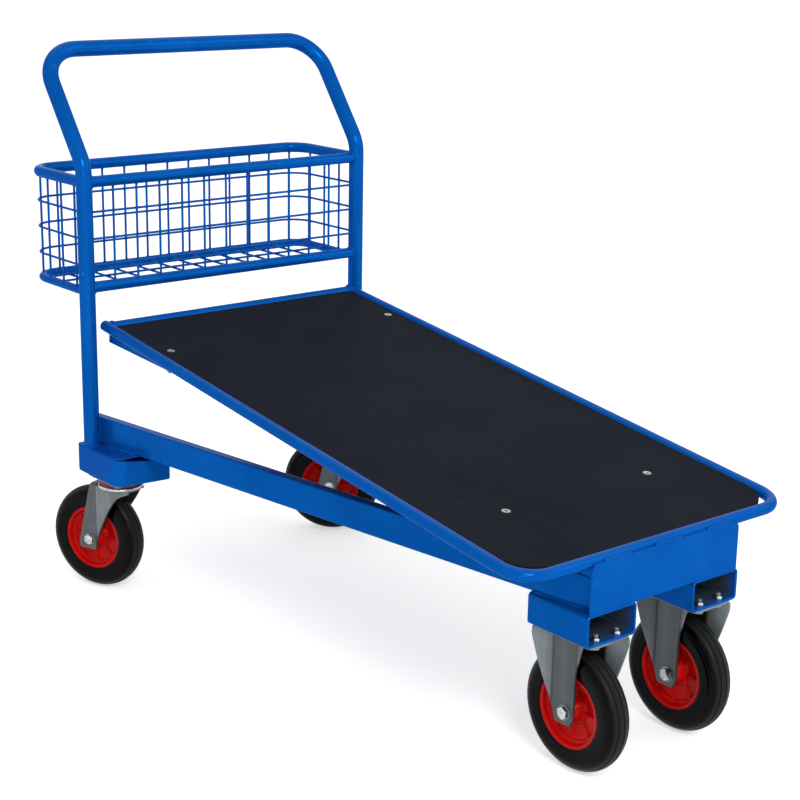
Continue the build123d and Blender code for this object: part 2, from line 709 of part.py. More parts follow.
def hub():
    """Moulded hub about X: flanged rim, dished web with pockets between ribs, and a bearing boss."""
    flange = hub_diameter / 2
    seat = flange - hub_rim_depth
    rim = seat - hub_rim_wall
    edge = hub_width / 2
    web = edge - hub_face_inset
    boss = hub_boss_diameter / 2
    bore = bearing_outer / 2 + weld_gap
    half = Polyline(
        (0, bore),
        (hub_boss_length / 2, bore),
        (hub_boss_length / 2, boss),
        (web - hub_dish, boss + hub_slope),
        (web, rim - hub_slope),
        (edge - hub_lip, rim),
        (edge, rim + hub_lip),
        (edge, flange),
        (edge - hub_flange, flange),
        (edge - hub_flange, seat),
        (0, seat),
        close=True,
    )
    right = make_face(half)
    body = revolve(right + mirror(right, about=Plane.YZ), Axis.X)
    low, high = boss + hub_slope + hub_lip, rim - hub_slope - hub_lip / 2
    floor = web - hub_dish - hub_pocket_depth
    ring = Pos(floor + hub_width / 2, (low + high) / 2) * Rectangle(hub_width, high - low)
    trench = revolve(ring, Axis.X)
    rib = Pos(0, 0, high / 2) * Box(2 * hub_width, hub_rib_width, high + 2)
    pockets = trench - [Rot(360 / hub_ribs * k, 0, 0) * rib for k in range(hub_ribs)]
    return body - [pockets, mirror(pockets, about=Plane.YZ)]


def bearing():
    """Plain bearing pressed into the hub, running on the sleeve."""
    ring = Circle(bearing_outer / 2) - Circle(sleeve_diameter / 2 + running_gap)
    return Rot(0, 90, 0) * extrude(ring, amount=hub_boss_length / 2 - 1, both=True)


def castor_fixings(places, stack):
    """Bolts up through castor plates and the sheet above, with nuts on top of that sheet."""
    nut_height = castor_bolt_diameter * 0.8
    under = castor_height - castor_plate
    length = castor_plate + stack + nut_height + axle_tail
    bolt = Rot(180, 0, 0) * hex_bolt(castor_bolt_diameter, castor_bolt_spanner, castor_bolt_head, length)
    nut = hex_nut(castor_bolt_diameter, castor_bolt_spanner, nut_height)
    bolts = Compound([Pos(x, y, under) * bolt for x, y in places])
    nuts = Compound([Pos(x, y, castor_height + stack) * nut for x, y in places])
    return bolts, nuts


def build():
    """Every piece of the trolley by name, drawn from the leg axes."""
    nodes = {"handle": handle(), **basket_rims()}
    nodes["basket_front_mesh"] = front_mesh()
    nodes["basket_side_mesh"] = side_mesh()
    nodes["basket_floor_mesh"] = floor_mesh()
    nodes.update(deck_tubes())
    nodes["deck_board"] = deck_board()
    nodes.update(deck_bolts())
    nodes["front_plate"] = front_plate()

    swings = {"right": right_castor_swing, "left": left_castor_swing}
    fixed, swivel, pieces = fixed_fork(), swivel_fork(), axle()
    wheel = {"tyre": tyre(), "hub": hub(), "bearing": bearing()}
    for name, side in sides.items():
        nodes[f"deck_bearer_{name}"] = deck_bearer(side)
        nodes[f"side_rail_{name}"] = side_rail(side)
        nodes[f"front_channel_{name}"] = front_channel(side)
        nodes[f"rear_box_{name}"] = rear_box(side)
        nodes[f"rear_box_cap_{name}"] = rear_box_cap(side)
        front = Pos(side * fixed_x, fixed_y, 0)
        nodes[f"front_fork_{name}"] = front * fixed
        nodes[f"front_axle_{name}"] = front * Pos(0, 0, axle_height) * pieces
        head = Pos(side * swivel_x, swivel_y, 0)
        nodes[f"rear_castor_plate_{name}"] = head * swivel_plate()
        nodes[f"rear_balls_{name}"] = head * swivel_balls()
        nodes[f"rear_seal_{name}"] = head * swivel_seal()
        nodes[f"rear_king_pin_{name}"] = head * king_pin()
        turned = head * Rot(0, 0, swings[name])
        nodes[f"rear_fork_{name}"] = turned * swivel
        rear = turned * Pos(0, castor_trail, axle_height)
        nodes[f"rear_axle_{name}"] = rear * pieces
        for piece, shape in wheel.items():
            nodes[f"front_{piece}_{name}"] = front * Pos(0, 0, axle_height) * shape
            nodes[f"rear_{piece}_{name}"] = rear * shape
    for end, x, y, spacing, stack in (
        ("front", fixed_x, fixed_y, fixed_bolt_spacing, channel_wall),
        ("rear", swivel_x, swivel_y, swivel_bolt_spacing, box_sheet),
    ):
        places = [(side * x + dx, y + dy) for side in sides.values() for dx, dy in across(spacing)]
        nodes[f"{end}_castor_bolts"], nodes[f"{end}_castor_nuts"] = castor_fixings(places, stack)
    return nodes


nodes = build()
box = Compound(list(nodes.values())).bounding_box()
origin = Pos(-box.center().X, -box.center().Y, -box.min.Z)
os.makedirs("parts", exist_ok=True)
for name, shape in nodes.items():
    export_step(origin * shape, f"parts/{name}.step")
print("origin moved by", origin.position)
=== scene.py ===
"""Looks of the nestable cash and carry trolley: paint, zinc, rubber, board, welds and fixings.

Shapes are worked out in millimetres from the leg axes, with the front towards -Y and the floor at
z = 0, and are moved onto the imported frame, in metres, when their meshes are made.
"""
import json
from functools import cached_property

import bmesh
import bpy
import numpy as np
from mathutils import Matrix, Vector

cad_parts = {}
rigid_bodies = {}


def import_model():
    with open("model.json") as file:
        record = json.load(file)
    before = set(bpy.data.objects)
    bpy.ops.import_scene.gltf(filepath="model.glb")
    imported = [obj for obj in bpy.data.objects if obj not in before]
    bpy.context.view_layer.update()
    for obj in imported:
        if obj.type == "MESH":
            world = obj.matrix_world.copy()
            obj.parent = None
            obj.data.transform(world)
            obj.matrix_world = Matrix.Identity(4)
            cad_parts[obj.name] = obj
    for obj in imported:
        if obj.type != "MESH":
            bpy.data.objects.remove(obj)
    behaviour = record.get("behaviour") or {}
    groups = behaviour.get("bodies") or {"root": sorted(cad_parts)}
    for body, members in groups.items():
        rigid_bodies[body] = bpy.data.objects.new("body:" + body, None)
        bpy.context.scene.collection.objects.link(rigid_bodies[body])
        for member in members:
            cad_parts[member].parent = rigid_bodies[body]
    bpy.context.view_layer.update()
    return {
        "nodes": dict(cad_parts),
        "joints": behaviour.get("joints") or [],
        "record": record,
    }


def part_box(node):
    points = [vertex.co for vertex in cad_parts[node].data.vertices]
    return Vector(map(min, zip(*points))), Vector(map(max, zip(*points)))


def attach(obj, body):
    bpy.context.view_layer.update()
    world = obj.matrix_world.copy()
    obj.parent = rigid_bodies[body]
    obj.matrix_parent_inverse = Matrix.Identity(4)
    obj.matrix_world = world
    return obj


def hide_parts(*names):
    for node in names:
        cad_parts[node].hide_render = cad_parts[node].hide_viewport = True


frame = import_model()
nodes = frame["nodes"]
joints = {joint["name"]: joint for joint in frame["joints"]}
SIDES = {"right": -1, "left": 1}
X, Y, Z = np.eye(3)
MM = 1000.0  # millimetres in a metre

# Sizes that the pieces below share with the solids, in millimetres
LEG_X, LEG_RADIUS = 315.0, 15.0
BOX_TOP, BOX_SHEET = 282.0, 3.0
DECK_SLOPE = np.radians(7.5)
DECK_LENGTH, DECK_HALF_WIDTH, DECK_TUBE = 1143.0, 287.0, 10.0
DECK_REAR_Y, DECK_FRONT_Z = -24.0, 362.0
DECK_FRONT = np.array([0.0, DECK_REAR_Y - DECK_LENGTH * np.cos(DECK_SLOPE), DECK_FRONT_Z])
DECK_REAR_Z = DECK_FRONT_Z + DECK_LENGTH * np.sin(DECK_SLOPE)
BOTTOM_RIM_Z = DECK_REAR_Z + 66.0
TOP_RIM_Z = BOTTOM_RIM_Z + 204.0
FRONT_TUBE_Z = BOTTOM_RIM_Z + 8.0
RIM_RADIUS, BAR_RADIUS, WIRE_RADIUS = 10.5, 8.0, 2.25
BASKET_DEPTH, BASKET_CORNER = 202.0, 46.0
PLATE_THICKNESS = 4.0
PLATE_FRONT_Y = DECK_FRONT[1] - DECK_TUBE - PLATE_THICKNESS
CASTOR_Z, AXLE_Z, TRAIL = 230.0, 100.0, 55.0
FORK_FOOT_Z, FORK_LEG_X, HALF_SHEET = 79.0, 25.75, 2.0
CROWN_BASE, CROWN_TOP, CROWN_LIP, CROWN_RADIUS = 206.0, 212.0, 215.0, 43.0
CHANNEL_X, CHANNEL_WALL, CHANNEL_HALF_LENGTH = 115.0, 4.0, 64.0
CHANNEL_HALF_WIDTH, CHANNEL_HALF_HEIGHT = 52.0, (BOX_TOP - CASTOR_Z) / 2

# Edges of the new pieces: the radius of a plate's rim and the angle from which an edge stays sharp
RIM_EDGE, CREASE = 1.2, np.radians(38)

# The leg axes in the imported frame: the handle stands on the middle plane, its legs' fronts lowest in y
handle_low, handle_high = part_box("handle")
SHIFT = np.array([(handle_low.x + handle_high.x) / 2 * MM, handle_low.y * MM + LEG_RADIUS, 0.0])

# The one source of unevenness, seeded so that every run is the same
random = np.random.default_rng(7)


class Value:
    """A socket in a material, so that shader maths is written as plain arithmetic."""

    def __init__(self, finish, socket):
        self.finish, self.socket = finish, socket

    def maths(self, operation, *others):
        """A Math node on this value and the others."""
        inputs = dict(enumerate((self, *others)))
        return self.finish.node("Math", {"operation": operation}, inputs)

    def __add__(self, other):
        return self.maths("ADD", other)

    def __mul__(self, other):
        return self.maths("MULTIPLY", other)

    def __sub__(self, other):
        return self.maths("SUBTRACT", other)

    def __rsub__(self, other):
        return (self * -1.0) + other

    __radd__ = __add__
    __rmul__ = __mul__

    def between(self, low, high):
        """0 below low, 1 above high and a smooth step from one to the other."""
        settings = {"interpolation_type": "SMOOTHSTEP"}
        return self.finish.node("MapRange", settings, {"Value": self, "From Min": low, "From Max": high})


class Finish:
    """A material or world, the one method that adds a node to it, and the patterns that they share."""

    def __init__(self, name, kind=bpy.data.materials):
        self.owner = kind.new(name)
        self.owner.use_nodes = True
        self.tree = self.owner.node_tree
        self.tree.nodes.clear()

    @cached_property
    def place(self):
        """Coordinates of a point on the piece, in metres."""
        return self.node("TexCoord", out="Object")

    def node(self, kind, settings=None, inputs=None, out=0):
        """Adds a node of a kind, sets its settings, fills its sockets and gives back one output."""
        made = self.tree.nodes.new("ShaderNode" + kind)
        for key, value in (settings or {}).items():
            setattr(made, key, value)
        for key, value in (inputs or {}).items():
            if isinstance(value, Value):
                self.tree.links.new(value.socket, made.inputs[key])
            elif made.inputs[key].type == "RGBA":
                made.inputs[key].default_value = (*value, 1)
            else:
                made.inputs[key].default_value = value
        return Value(self, made.outputs[out]) if made.outputs else None

    def noise(self, scale, detail=3.0, stretch=None, rough=0.5):
        """Cloudy pattern of so many lumps a metre, stretched along an axis if asked."""
        place = self.place
        if stretch:
            place = self.node("Mapping", inputs={"Vector": place, "Scale": stretch})
        inputs = {"Vector": place, "Scale": scale, "Detail": detail, "Roughness": rough}
        return self.node("TexNoise", inputs=inputs)

    def mark(self, name):
        """The value that a piece's mesh keeps under a name at each of its points."""
        return self.node("Attribute", {"attribute_name": name}, out="Fac")

    def seen(self):
        """1 where the camera looks, straight, in a gloss or through glass, and 0 for light on its way."""
        ray = self.node("LightPath", out="Is Camera Ray")
        for way in ("Is Glossy Ray", "Is Transmission Ray"):
            ray = ray.maths("MAXIMUM", self.node("LightPath", out=way))
        return ray

    def mix(self, factor, first, second):
        """Colour between two colours."""
        settings = {"data_type": "RGBA"}
        return self.node("Mix", settings, {0: factor, 6: first, 7: second}, out=2)

    def bump(self, height, distance, strength):
        """Surface normal from a height pattern whose full step is a distance in metres."""
        return self.node("Bump", inputs={"Height": height, "Distance": distance, "Strength": strength})

    def shade(self, **sockets):
        """The surface itself, then the material."""
        inputs = {key.replace("_", " "): value for key, value in sockets.items()}
        surface = self.node("BsdfPrincipled", inputs=inputs)
        self.node("OutputMaterial", inputs={"Surface": surface})
        return self.owner


def blue_paint():
    """Gloss powder coat: fine orange peel, faint clouds, dust on level faces, dull rubs and pale chips.

    On level faces, where it flowed out best, the coat is glossier. Inside the front channels a dark grey is
    painted in as shade, from none at each mouth to nearly all of it 24 mm in.
    """
    f = Finish("blue_paint")
    clouds = f.noise(9.0, 4.0)
    peel = f.noise(700.0, 2.0)
    rubs = f.noise(60.0, 6.0, rough=0.7).between(0.60, 0.72)
    chips = f.noise(85.0, 4.0, rough=0.75).between(0.67, 0.70)
    facing = f.node("NewGeometry", out="Normal")
    level = f.node("SeparateXYZ", inputs={0: facing}, out="Z").between(0.70, 0.98)
    dust = level * f.noise(38.0, 5.0, rough=0.65).between(0.35, 0.75)

    x, y, z = (f.node("SeparateXYZ", inputs={0: f.place}, out=axis) for axis in "XYZ")
    across = ((x - SHIFT[0] / MM).maths("ABSOLUTE") - CHANNEL_X / MM).maths("ABSOLUTE")
    upward = (z - (CASTOR_Z + BOX_TOP) / 2 / MM).maths("ABSOLUTE")
    along = (y - (PLATE_FRONT_Y + CHANNEL_HALF_LENGTH + SHIFT[1]) / MM).maths("ABSOLUTE")
    wide = (CHANNEL_HALF_WIDTH - CHANNEL_WALL) / MM
    tall = (CHANNEL_HALF_HEIGHT - CHANNEL_WALL) / MM
    mouth = CHANNEL_HALF_LENGTH / MM
    skin, inwall, fade = 0.0005, 0.0020, 0.024
    inside = 1 - across.between(wide + skin, wide + inwall)
    inside = inside * (1 - upward.between(tall + skin, tall + inwall))
    # Painted shade inside the front channels: none at each mouth, full 24 mm in
    painted_channel_shade = inside * (1 - along.between(mouth - fade, mouth))

    colour = f.mix(clouds.between(0.3, 0.7), (0.0015, 0.082, 0.365), (0.0025, 0.096, 0.415))
    colour = f.mix(rubs * 0.25, colour, (0.008, 0.14, 0.50))
    colour = f.mix(chips * 0.65, colour, (0.045, 0.24, 0.60))
    colour = f.mix(dust * 0.10, colour, (0.10, 0.20, 0.40))
    # Painted shade: a dark grey inside the front channels
    colour = f.mix(painted_channel_shade * 0.92, colour, (0.062, 0.074, 0.084))
    rough = clouds * 0.08 + rubs * 0.18 + dust * 0.15 + 0.16
    return f.shade(
        Base_Color=colour,
        Roughness=rough,
        Coat_Weight=level * 0.26,
        Coat_Roughness=0.10,
        Metallic=0.30,
        Specular_IOR_Level=0.01,
        Specular_Tint=(0.10, 0.45, 1.0),
        Normal=f.bump(peel, 0.00006, 0.6),
    )


def deck_board():
    """Film-faced plywood: a bluish near black with a fine pebble, scuffs, worn streaks and specks."""
    f = Finish("deck_board")
    clouds = f.noise(5.0, 5.0, rough=0.6)
    pebble = f.noise(520.0, 2.0)
    scuffs = f.noise(30.0, 7.0, stretch=(3.0, 0.4, 1.0), rough=0.75).between(0.60, 0.74)
    streaks = f.noise(24.0, 5.0, stretch=(5.0, 0.22, 1.0), rough=0.7).between(0.50, 0.70)
    specks = f.noise(90.0, 2.0).between(0.755, 0.785)
    colour = f.mix(clouds.between(0.3, 0.72), (0.0112, 0.0130, 0.0208), (0.0158, 0.0172, 0.0248))
    colour = f.mix(streaks * 0.20, colour, (0.026, 0.027, 0.033))
    colour = f.mix(scuffs * 0.36, colour, (0.030, 0.033, 0.042))
    colour = f.mix(specks * 0.45, colour, (0.06, 0.06, 0.065))
    rough = clouds * 0.16 + scuffs * 0.12 + 0.46
    return f.shade(
        Base_Color=colour, Roughness=rough, Specular_IOR_Level=0.008, Normal=f.bump(pebble, 0.00012, 0.5)
    )


def tyre_rubber():
    """Black rubber with a satin skin, moulding specks and grey dust, and the tread a lighter grey all
    round.
    """
    f = Finish("tyre_rubber")
    clouds = f.noise(22.0, 5.0, rough=0.65)
    grain = f.noise(900.0, 2.0)
    tread = f.mark("tread")
    dust = clouds.between(0.48, 0.78)
    colour = f.mix(dust, (0.0009, 0.0009, 0.0010), (0.0030, 0.0029, 0.0028))
    # The tread is drawn a lighter grey all round the wheel
    colour = f.mix(tread * (clouds * 0.5 + 0.45), colour, (0.021, 0.0205, 0.0210))
    rough = dust * 0.20 + tread * 0.24 + 0.17
    return f.shade(
        Base_Color=colour, Roughness=rough, Specular_IOR_Level=0.07, Normal=f.bump(grain, 0.00008, 0.5)
    )


def red_hub():
    """Moulded red plastic with flow clouds and a light satin sheen."""
    f = Finish("red_hub")
    clouds = f.noise(34.0, 4.0)
    grain = f.noise(1400.0, 1.0)
    colour = f.mix(clouds.between(0.32, 0.7), (0.44, 0.0026, 0.0020), (0.54, 0.0050, 0.0036))
    return f.shade(
        Base_Color=colour,
        Roughness=clouds * 0.12 + 0.16,
        Specular_IOR_Level=0.13,
        Specular_Tint=(1.0, 0.45, 0.40),
        Normal=f.bump(grain, 0.00003, 0.4),
    )


def castor_zinc():
    """Zinc plated pressing: grey, streaked upwards by the drawing, with soft cloudy passivation.

    A fork marks its painted shade, from 0 on its wings to 1 inside its legs.
    """
    f = Finish("castor_zinc")
    clouds = f.noise(26.0, 6.0, rough=0.62)
    streaks = f.noise(44.0, 2.0, stretch=(1.0, 1.0, 0.03))
    grain = f.noise(420.0, 3.0, stretch=(1.0, 1.0, 0.12))
    tone = (clouds * 0.4 + streaks * 0.6).between(0.34, 0.66)
    dirt_and_painted_shade = f.mark("dirt_and_painted_shade")
    colour = f.mix(tone, (0.108, 0.131, 0.144), (0.188, 0.214, 0.228))
    # Painted shade: marked points of a fork go towards a near black
    colour = f.mix(dirt_and_painted_shade, colour, (0.018, 0.022, 0.026))
    rough = clouds * 0.18 + grain * 0.10 + 0.26
    return f.shade(Base_Color=colour, Metallic=0.5, Roughness=rough, Normal=f.bump(grain, 0.00004, 0.5))


def bright_steel():
    """Bright zinc plated fixings with a slight cloud and a fine grain, darker where a piece marks dirt and
    painted shade.
    """
    f = Finish("bright_steel")
    clouds = f.noise(120.0, 4.0)
    grain = f.noise(1500.0, 2.0)
    colour = f.mix(clouds.between(0.3, 0.7), (0.34, 0.35, 0.36), (0.60, 0.61, 0.61))
    # Dirt and painted shade: marked points go towards a dark grey
    colour = f.mix(f.mark("dirt_and_painted_shade"), colour, (0.050, 0.060, 0.066))
    return f.shade(
        Base_Color=colour, Metallic=1.0, Roughness=clouds * 0.14 + 0.16, Normal=f.bump(grain, 0.00003, 0.4)
    )


def seal_red():
    """Dark red dust seal, dull and a little dusty."""
    f = Finish("seal_red")
    clouds = f.noise(160.0, 4.0)
    colour = f.mix(clouds.between(0.3, 0.7), (0.13, 0.007, 0.010), (0.20, 0.020, 0.022))
    return f.shade(Base_Color=colour, Roughness=clouds * 0.2 + 0.45)


def bearing_plastic():
    """Pale nylon of the plain bearings."""
    f = Finish("bearing_plastic")
    clouds = f.noise(140.0, 3.0)
    colour = f.mix(clouds, (0.55, 0.54, 0.50), (0.68, 0.67, 0.63))
    return f.shade(Base_Color=colour, Roughness=0.5)


FINISHES = {
    "blue_paint": blue_paint(),
    "deck_board": deck_board(),
    "tyre": tyre_rubber(),
    "red_hub": red_hub(),
    "red_seal": seal_red(),
    "castor_zinc": castor_zinc(),
    "fastener_steel": bright_steel(),
    "bearing_plastic": bearing_plastic(),
}

# Each solid wears the finish of its material slot
for part in frame["record"]["subparts"]:
    mesh = nodes[part["node"]].data
    mesh.materials.clear()
    mesh.materials.append(FINISHES[part["material_slot"]])


def unit(vectors):
    """Vectors of length one."""
    return vectors / np.linalg.norm(vectors, axis=-1, keepdims=True)


def smooth_step(low, high, value):
    """0 below low, 1 above high, 3t^2 - 2t^3 between."""
    t = np.clip((value - low) / (high - low), 0, 1)
    return t * t * (3 - 2 * t)


class Shell:
    """Grids of points that are gathered into one piece."""

    def __init__(self):
        self.points, self.values, self.faces, self.count = [], [], [], 0

    def add(self, rings, round_path=False, caps=(), value=0.0):
        """Quads between rings of points; a ring is closed, and so is the path of rings if asked.

        Face (i, j) joins points j and j + 1 of rings i and i + 1, and a cap is the ring itself. The
        value is a mark for the material, one for all points or one for each.
        """
        rows, columns = rings.shape[:2]
        i = np.arange(rows if round_path else rows - 1)[:, None]
        j = np.arange(columns)[None, :]
        after, beside = (i + 1) % rows, (j + 1) % columns
        corners = (i * columns + j, i * columns + beside, after * columns + beside, after * columns + j)
        quads = np.stack(np.broadcast_arrays(*corners), -1).reshape(-1, 4) + self.count
        self.faces += quads.tolist()
        for row in caps:
            self.faces.append((np.arange(columns) + row % rows * columns + self.count).tolist())
        self.points.append(rings.reshape(-1, 3))
        self.values.append(np.broadcast_to(value, (rows, columns)).ravel())
        self.count += rows * columns
        return self

    def piece(self, name, body, slot, *replaced, mark=None):
        """The object: its place goes into its mesh, its faces are turned outwards and it rides on a body.

        The points' values become an attribute of the mesh where the material reads a mark.
        """
        mesh = bpy.data.meshes.new(name)
        mesh.from_pydata(((np.concatenate(self.points) + SHIFT) / MM).tolist(), [], self.faces)
        work = bmesh.new()
        work.from_mesh(mesh)
        bmesh.ops.recalc_face_normals(work, faces=work.faces)
        work.to_mesh(mesh)
        work.free()
        if mark:
            layer = mesh.attributes.new(mark, "FLOAT", "POINT")
            layer.data.foreach_set("value", np.concatenate(self.values))
        mesh.shade_smooth()
        mesh.set_sharp_from_angle(angle=CREASE)
        mesh.materials.append(FINISHES[slot])
        made = bpy.data.objects.new(name, mesh)
        bpy.context.scene.collection.objects.link(made)
        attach(made, body)
        if replaced:
            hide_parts(*replaced)


def carried(profile, path, reference, size=None, closed=False):
    """A profile of (across, up) points carried along a path.

    point = path + size * (across * side + up * lift), where side is square to the path and the
    reference, and lift is square to both side and path.
    """
    if closed:
        tangent = unit(np.roll(path, -1, 0) - np.roll(path, 1, 0))
    else:
        tangent = unit(np.gradient(path, axis=0))
    side = unit(np.cross(tangent, reference))
    lift = np.cross(side, tangent)
    scaled = profile[None] * (np.ones(len(path)) if size is None else size)[:, None, None]
    return path[:, None] + scaled[..., :1] * side[:, None] + scaled[..., 1:] * lift[:, None]


def circle(count):
    """Unit circle of points (cos, sin)."""
    turn = np.arange(count) * 2 * np.pi / count
    return np.stack([np.cos(turn), np.sin(turn)], 1)


def weld(shell, path, reference, size, closed=False):
    """Weld bead along a path: a round bead whose radius swells once for each ripple of the weld.

    radius = size * (1 - swell + swell |sin(pi s / pitch)|) with a little unevenness, s being the length
    along the path; an open bead closes to a point in its last millimetres.
    """
    pitch, step, swell, fewest, sides = 4.2, 0.9, 0.14, 12, 12
    gaps = np.linalg.norm(np.diff(path, axis=0), axis=1)
    length = np.concatenate([[0], np.cumsum(gaps)])
    count = max(int(length[-1] / step), fewest)
    along = np.linspace(0, length[-1], count, endpoint=not closed)
    line = np.stack([np.interp(along, length, path[:, k]) for k in range(3)], 1)
    uneven = 1 + 0.07 * np.sin(along / 11.0 + random.uniform(0, 6)) * np.sin(along / 4.7)
    radius = size * (1 - swell + swell * np.abs(np.sin(np.pi * along / pitch))) * uneven
    if not closed:
        from_end = np.minimum(along, length[-1] - along)
        radius = radius * np.sqrt(np.clip(from_end / (1.3 * size), 0.02, 1))
    rings = carried(circle(sides), line, reference, radius, closed)
    shell.add(rings, closed, () if closed else (0, -1))


def saddle(centre, along, across, up, radius, host):
    """Seam of a tube that butts on another: its circle pushed along its axis to the host's round side.

    distance along = sqrt(host^2 - (radius sin t)^2)
    """
    turn = np.linspace(0, 2 * np.pi, 96, endpoint=False)[:, None]
    sideways = radius * np.sin(turn)
    out = np.sqrt(np.maximum(host**2 - sideways**2, 0))
    return centre + out * along + sideways * across + radius * np.cos(turn) * up


def on_deck(points):
    """Points of the deck's own plane, from its front tube's middle, in the trolley's space."""
    along = np.array([0, np.cos(DECK_SLOPE), np.sin(DECK_SLOPE)])
    normal = np.array([0, -np.sin(DECK_SLOPE), np.cos(DECK_SLOPE)])
    return DECK_FRONT + points @ np.stack([X, along, normal])


def rail_edge(y, side):
    """Outer face of a side rail: a straight line from the plate's back that touches the leg."""
    front_x, front_y, clearance = 145.0, DECK_FRONT[1] - DECK_TUBE, 0.05
    reach = np.hypot(LEG_X - front_x, front_y)
    heading = np.arctan2(-front_y, LEG_X - front_x) + np.arcsin((LEG_RADIUS + clearance) / reach)
    return side * (front_x + (y - front_y) / np.tan(heading))


def frame_welds():
    """Beads where tubes butt on the legs, at the legs' feet, along the rails and on the front plate.

    The rail hides 42 degrees of a leg's foot each way, and its end is welded up the leg's inside. A run
    is where a bead starts and ends along its line.
    """
    rim_bead, bar_bead, foot_bead, rail_bead, plate_bead = 2.4, 2.2, 3.0, 2.8, 3.2
    foot_turn = np.linspace(np.radians(42), np.radians(318), 96)
    rail_end_x, rail_end_half = LEG_X - 14.4, 6.5
    rail_rise = np.linspace(BOX_TOP + 2, BOX_TOP + 51, 40)[:, None]
    rail_runs = (-108, -22), (PLATE_FRONT_Y + 14, PLATE_FRONT_Y + 122)
    plate_runs = (-138, -78), (-28, 34), (88, 146)
    rail_seam_z, plate_seam_y, plate_seam_z = BOX_TOP + 0.6, PLATE_FRONT_Y + 2.4, DECK_FRONT_Z + 1.2
    shell = Shell()
    for side in SIDES.values():
        leg = np.array([side * LEG_X, 0, 0])
        for z in (TOP_RIM_Z, FRONT_TUBE_Z):
            weld(shell, saddle(leg + z * Z, -side * X, Y, Z, RIM_RADIUS, LEG_RADIUS), X, rim_bead, True)
        weld(shell, saddle(leg + TOP_RIM_Z * Z, Y, X, Z, RIM_RADIUS, LEG_RADIUS), Y, rim_bead, True)
        weld(shell, saddle(leg + BOTTOM_RIM_Z * Z, Y, X, Z, BAR_RADIUS, LEG_RADIUS), Y, bar_bead, True)
        foot = np.stack([side * np.cos(foot_turn), np.sin(foot_turn), np.zeros_like(foot_turn)], 1)
        weld(shell, leg + BOX_TOP * Z + LEG_RADIUS * foot, Z, foot_bead)
        for y in (-rail_end_half, rail_end_half):
            weld(shell, np.array([side * rail_end_x, y, 0]) + rail_rise * Z, X, rim_bead)
        for low, high in rail_runs:
            y = np.linspace(low, high, 60)
            weld(shell, np.stack([rail_edge(y, side), y, np.full_like(y, rail_seam_z)], 1), Z, rail_bead)
        joint = np.array([[side * DECK_HALF_WIDTH, DECK_LENGTH, 0.0]])
        weld(shell, on_deck(saddle(joint, -side * X, Y, Z, DECK_TUBE, DECK_TUBE)), X, bar_bead, True)
    for low, high in plate_runs:
        x = np.linspace(low, high, 60)
        line = np.stack([x, np.full_like(x, plate_seam_y), np.full_like(x, plate_seam_z)], 1)
        weld(shell, line, Z, plate_bead)
    shell.piece("frame_welds", "frame", "blue_paint")


def wire_places(half, shift, pitch=50.0):
    """Places a pitch apart, counted from the shift, within a half length each way."""
    places = shift + pitch * np.arange(-20, 21)
    return places[np.abs(places) <= half]


def basket_point(place):
    """Point at a distance along the basket's plan, counted from the middle of its back."""
    straight = LEG_X - BASKET_CORNER
    quarter = BASKET_CORNER * np.pi / 2
    side, run = np.sign(place), np.abs(place)
    turn = np.clip((run - straight) / BASKET_CORNER, 0, np.pi / 2)
    x = np.minimum(run, straight) + BASKET_CORNER * np.sin(turn)
    y = BASKET_DEPTH - BASKET_CORNER * (1 - np.cos(turn)) - np.maximum(run - straight - quarter, 0)
    return side * x, y


def wire_welds():
    """Small cones of weld at the feet and tops of the mesh wires.

    radius falls from the cone's at the tube to the wire's own, as a quarter of an ellipse.
    """
    cone_radius, cone_height, sink, fit = 4.2, 4.0, 0.9, 0.98
    end_gap, front_shift, side_shift = 24.0, -5.0, -10.0
    t = np.linspace(0, 1, 6)
    radius = cone_radius - (cone_radius - WIRE_RADIUS * fit) * np.sqrt(1 - (1 - t) ** 2)
    ring = radius[:, None, None] * circle(10)
    top = TOP_RIM_Z - RIM_RADIUS + sink
    feet = []
    for x in wire_places(LEG_X - end_gap, front_shift):
        feet += [(x, 0, FRONT_TUBE_Z + RIM_RADIUS - sink, 1), (x, 0, top, -1)]
    half = LEG_X - BASKET_CORNER + BASKET_CORNER * np.pi / 2 + BASKET_DEPTH - BASKET_CORNER - end_gap
    for x, y in zip(*basket_point(wire_places(half, side_shift))):
        feet += [(x, y, BOTTOM_RIM_Z + BAR_RADIUS - sink, 1), (x, y, top, -1)]
    shell = Shell()
    for x, y, z, way in feet:
        height = np.broadcast_to((z + way * cone_height * t)[:, None, None], (*ring.shape[:2], 1))
        shell.add(np.concatenate([ring + (x, y), height], -1), caps=(0, -1))
    shell.piece("wire_welds", "frame", "blue_paint")


def hexagon(across_flats, count=72):
    """Radius of a hexagon at each of so many angles: a / (2 cos(angle from the nearest flat))."""
    turn = np.arange(count) * 2 * np.pi / count
    from_flat = (turn + np.pi / 6) % (np.pi / 3) - np.pi / 6
    return turn, across_flats / 2 / np.cos(from_flat)


def hex_block(across_flats, height, bore=0.0, chamfer=0.94):
    """Bolt head or nut along +Z: a hexagon whose outer end is turned to a 30 degree cone.

    side height = height - (radius - chamfer circle) tan 30, where the hexagon leaves that circle.
    """
    turn, radius = hexagon(across_flats)
    top = chamfer * across_flats / 2
    edge = height - np.maximum(radius - top, 0) * np.tan(np.pi / 6)
    inner = np.full_like(radius, max(bore, 0.05))
    levels = [
        (inner, np.zeros_like(radius)),
        (radius, np.zeros_like(radius)),
        (radius, edge),
        (np.full_like(radius, top), np.full_like(radius, height)),
        (inner, np.full_like(radius, height)),
    ]
    return np.stack([np.stack([r * np.cos(turn), r * np.sin(turn), z], 1) for r, z in levels])


def turned(profile, count=72):
    """A profile of (height, radius) points turned about Z; ring i is point i of the profile."""
    spin = circle(count)
    radius = profile[:, 1][:, None, None] * spin
    height = np.broadcast_to(profile[:, 0][:, None, None], (len(profile), count, 1))
    return np.concatenate([radius, height], -1)


def axle_line(joint):
    """Middle of a wheel's axle, in millimetres from the leg axes, and its direction."""
    return np.array(joint["pos_m"]) * MM - SHIFT, np.array(joint["axis"], float)


